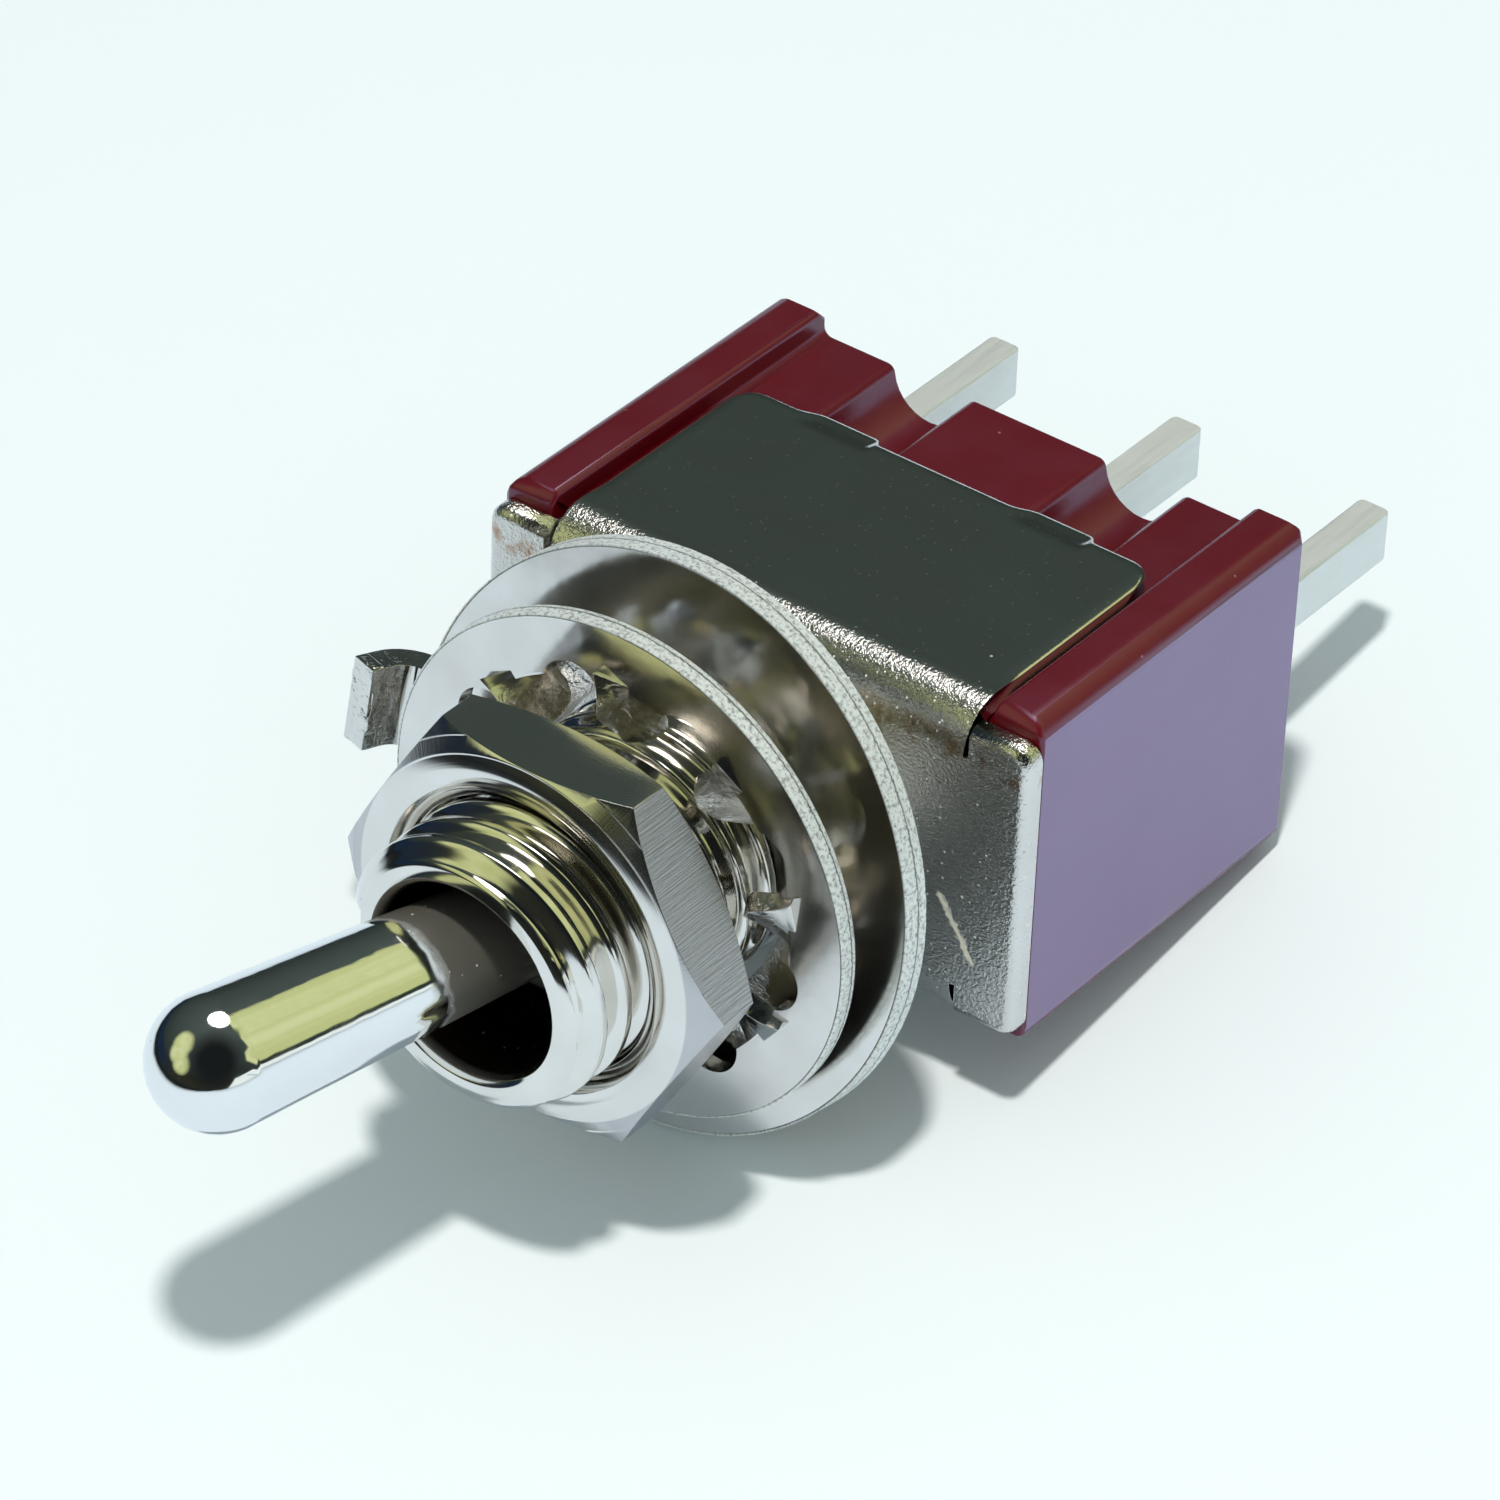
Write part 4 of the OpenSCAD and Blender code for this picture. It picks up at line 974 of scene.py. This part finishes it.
# A dim studio dome over the set, seen only in reflections, gives the plating its dark bands.
# Soft greenish-yellow panels stand in front, and a tall one behind on the right, where the
# lever mirrors it as a long band. A panel's two numbers are the angles, in degrees from its
# middle, where it begins to fade and where it has gone.
DOME_R = 0.55
DOME_FROM = -16
PANELS = (((-0.50, -0.62, 0.60), 13, 19), ((-0.50, -0.74, 0.42), 12, 18),
          ((-0.34, -0.88, 0.26), 10, 16))
bpy.ops.object.select_all(action="DESELECT")
bpy.ops.mesh.primitive_uv_sphere_add(segments=96, ring_count=96, radius=DOME_R)
dome = bpy.context.object
dome.name = "studio_dome"
mesh = edit(dome, "FACE")
for face in mesh.faces:
    middle = face.calc_center_median() / DOME_R
    if middle.z < math.sin(math.radians(DOME_FROM)):
        face.select_set(True)
bmesh.update_edit_mesh(dome.data)
bpy.ops.mesh.delete(type="FACE")
bpy.ops.object.mode_set(mode="OBJECT")

dome_material = bpy.data.materials.new("studio_dome_cloth")
dome_material.use_nodes = True
tree = dome_material.node_tree
tree.nodes.clear()
coordinates = add_node(tree, "ShaderNodeTexCoord").outputs["Object"]
direction = add_node(tree, "ShaderNodeVectorMath", {0: coordinates}, operation="NORMALIZE")
left, _, height = add_node(tree, "ShaderNodeSeparateXYZ", {0: direction}).outputs
rise = add_node(tree, "ShaderNodeMapRange", {0: height, 1: 0.2, 2: 0.95})
cloth = add_node(tree, "ShaderNodeMix", {0: rise, 6: linear("#303936"), 7: linear("#4d5855")},
                 data_type="RGBA")
blue = add_node(tree, "ShaderNodeMapRange", {0: left, 1: -0.5, 2: -0.9})
hem = add_node(tree, "ShaderNodeMix", {0: blue, 6: linear("#2b2d26"), 7: linear("#1b2b40")},
               data_type="RGBA")
low = add_node(tree, "ShaderNodeMapRange", {0: height, 1: 0.2, 2: 0.12})
cloth = add_node(tree, "ShaderNodeMix", {0: low, 6: cloth, 7: hem}, data_type="RGBA")
# The tall panel follows the ring of directions that the lever's side mirrors.
lever_axis = (-math.sin(LEVER_LEAN), -math.cos(LEVER_LEAN), 0)
lengthwise = add_node(tree, "ShaderNodeVectorMath", {0: direction, 1: lever_axis},
                      operation="DOT_PRODUCT")
ripple = add_node(tree, "ShaderNodeTexNoise", {"Vector": direction, "Scale": 14.0, "Detail": 3.0})
ripple = add_node(tree, "ShaderNodeMath", {0: ripple, 1: 0.5}, operation="SUBTRACT")
wavy = add_node(tree, "ShaderNodeMath", {0: ripple, 1: 0.35, 2: left}, operation="MULTIPLY_ADD")
tall = add_node(tree, "ShaderNodeMath",
                {0: between(tree, lengthwise, -0.78, -0.3, 0.03),
                 1: between(tree, height, 0.235, 1.0, 0.012)}, operation="MULTIPLY")
right_side = add_node(tree, "ShaderNodeMapRange", {0: wavy, 1: -0.1, 2: -0.04})
lit = add_node(tree, "ShaderNodeMath", {0: tall, 1: right_side}, operation="MULTIPLY")
for centre, inner, outer in PANELS:
    panel = patch(tree, direction, centre, inner, outer)
    lit = add_node(tree, "ShaderNodeMath", {0: lit, 1: panel}, operation="MAXIMUM")
mottle = add_node(tree, "ShaderNodeTexNoise", {"Vector": direction, "Scale": 5.0, "Detail": 2.0})
mottle = add_node(tree, "ShaderNodeMapRange", {0: mottle, 1: 0.35, 2: 0.65})
linen = add_node(tree, "ShaderNodeMix", {0: mottle, 6: linear("#c6cf90"), 7: linear("#d9e0aa")},
                 data_type="RGBA")
cloth = add_node(tree, "ShaderNodeMix", {0: lit, 6: cloth, 7: linen}, data_type="RGBA")
# Behind the camera it is dark.
aside = patch(tree, direction, (0.479, -0.655, 0.584), 24, 52)
cloth = add_node(tree, "ShaderNodeMix", {0: aside, 6: cloth, 7: linear("#1a1e1f")},
                 data_type="RGBA")
glow = add_node(tree, "ShaderNodeEmission", {0: cloth})
# The cloth hangs lower in front and to the left than it does elsewhere.
ahead = add_node(tree, "ShaderNodeVectorMath", {0: direction, 1: AHEAD}, operation="DOT_PRODUCT")
hem_line = add_node(tree, "ShaderNodeMapRange", {0: ahead, 1: -0.45, 2: -0.1, 3: 0.13, 4: -0.25})
above = add_node(tree, "ShaderNodeMath", {0: height, 1: hem_line}, operation="SUBTRACT")
above = add_node(tree, "ShaderNodeMapRange", {0: above, 1: -0.008, 2: 0.008})
clear = add_node(tree, "ShaderNodeBsdfTransparent")
cloth = add_node(tree, "ShaderNodeMixShader", {0: above, 1: clear, 2: glow})
add_node(tree, "ShaderNodeOutputMaterial", {"Surface": cloth})
dome.data.materials.append(dome_material)
dome.visible_camera = False
dome.visible_diffuse = False
dome.visible_shadow = False
dome.visible_transmission = False


def lamp(name, aim, distance, size, energy):
    """A round lamp that looks at the switch from this direction."""
    light = bpy.data.lights.new(name, "AREA")
    light.shape = "DISK"
    light.size = size
    light.energy = energy
    light.color = (1.0, 0.99, 0.97)
    made = bpy.data.objects.new(name, light)
    scene.collection.objects.link(made)
    aim = Vector(aim).normalized()
    made.location = aim * distance
    made.rotation_mode = "QUATERNION"
    made.rotation_quaternion = aim.to_track_quat("Z", "Y")
    return made


# The key lamp is small and close, in front and above, and throws the shadows. The gleam lamp
# gives the plating its small round highlights.
key_lamp = lamp("key_lamp", (0.176, -0.322, 1.0), distance=0.266, size=0.02, energy=0.45)
key_lamp.visible_glossy = False
gleam_lamp = lamp("gleam_lamp", (-0.14, 0.21, 0.97), distance=0.5, size=0.27, energy=0.9)
gleam_lamp.visible_diffuse = False

# The world is plain white to look at and in reflections, and a soft fill otherwise.
FILL = 0.46
world = bpy.data.worlds.new("white_room")
scene.world = world
world.use_nodes = True
tree = world.node_tree
tree.nodes.clear()
rays = add_node(tree, "ShaderNodeLightPath").outputs
seen = add_node(tree, "ShaderNodeMath", {0: rays["Is Glossy Ray"], 1: rays["Is Transmission Ray"]},
                operation="MAXIMUM")
seen = add_node(tree, "ShaderNodeMath", {0: seen, 1: rays["Is Camera Ray"]}, operation="MAXIMUM")
white = add_node(tree, "ShaderNodeBackground", {"Color": linear("#f4ffff"), "Strength": 1.0})
fill = add_node(tree, "ShaderNodeBackground", {"Color": linear("#eefcff"), "Strength": FILL})
blend = add_node(tree, "ShaderNodeMixShader", {0: seen, 1: fill, 2: white})
add_node(tree, "ShaderNodeOutputWorld", {"Surface": blend})

camera_data = bpy.data.cameras.new("camera")
camera_data.sensor_width = 36
camera_data.lens = 195.03
camera_data.clip_start = 0.01
camera_data.clip_end = 5
camera = bpy.data.objects.new("camera", camera_data)
scene.collection.objects.link(camera)
camera.location = (0.076117, -0.104178, 0.094427)
camera.rotation_euler = [math.radians(a) for a in (53.9275, -1.9339, 37.5469)]
scene.camera = camera

scene.view_settings.view_transform = "Standard"
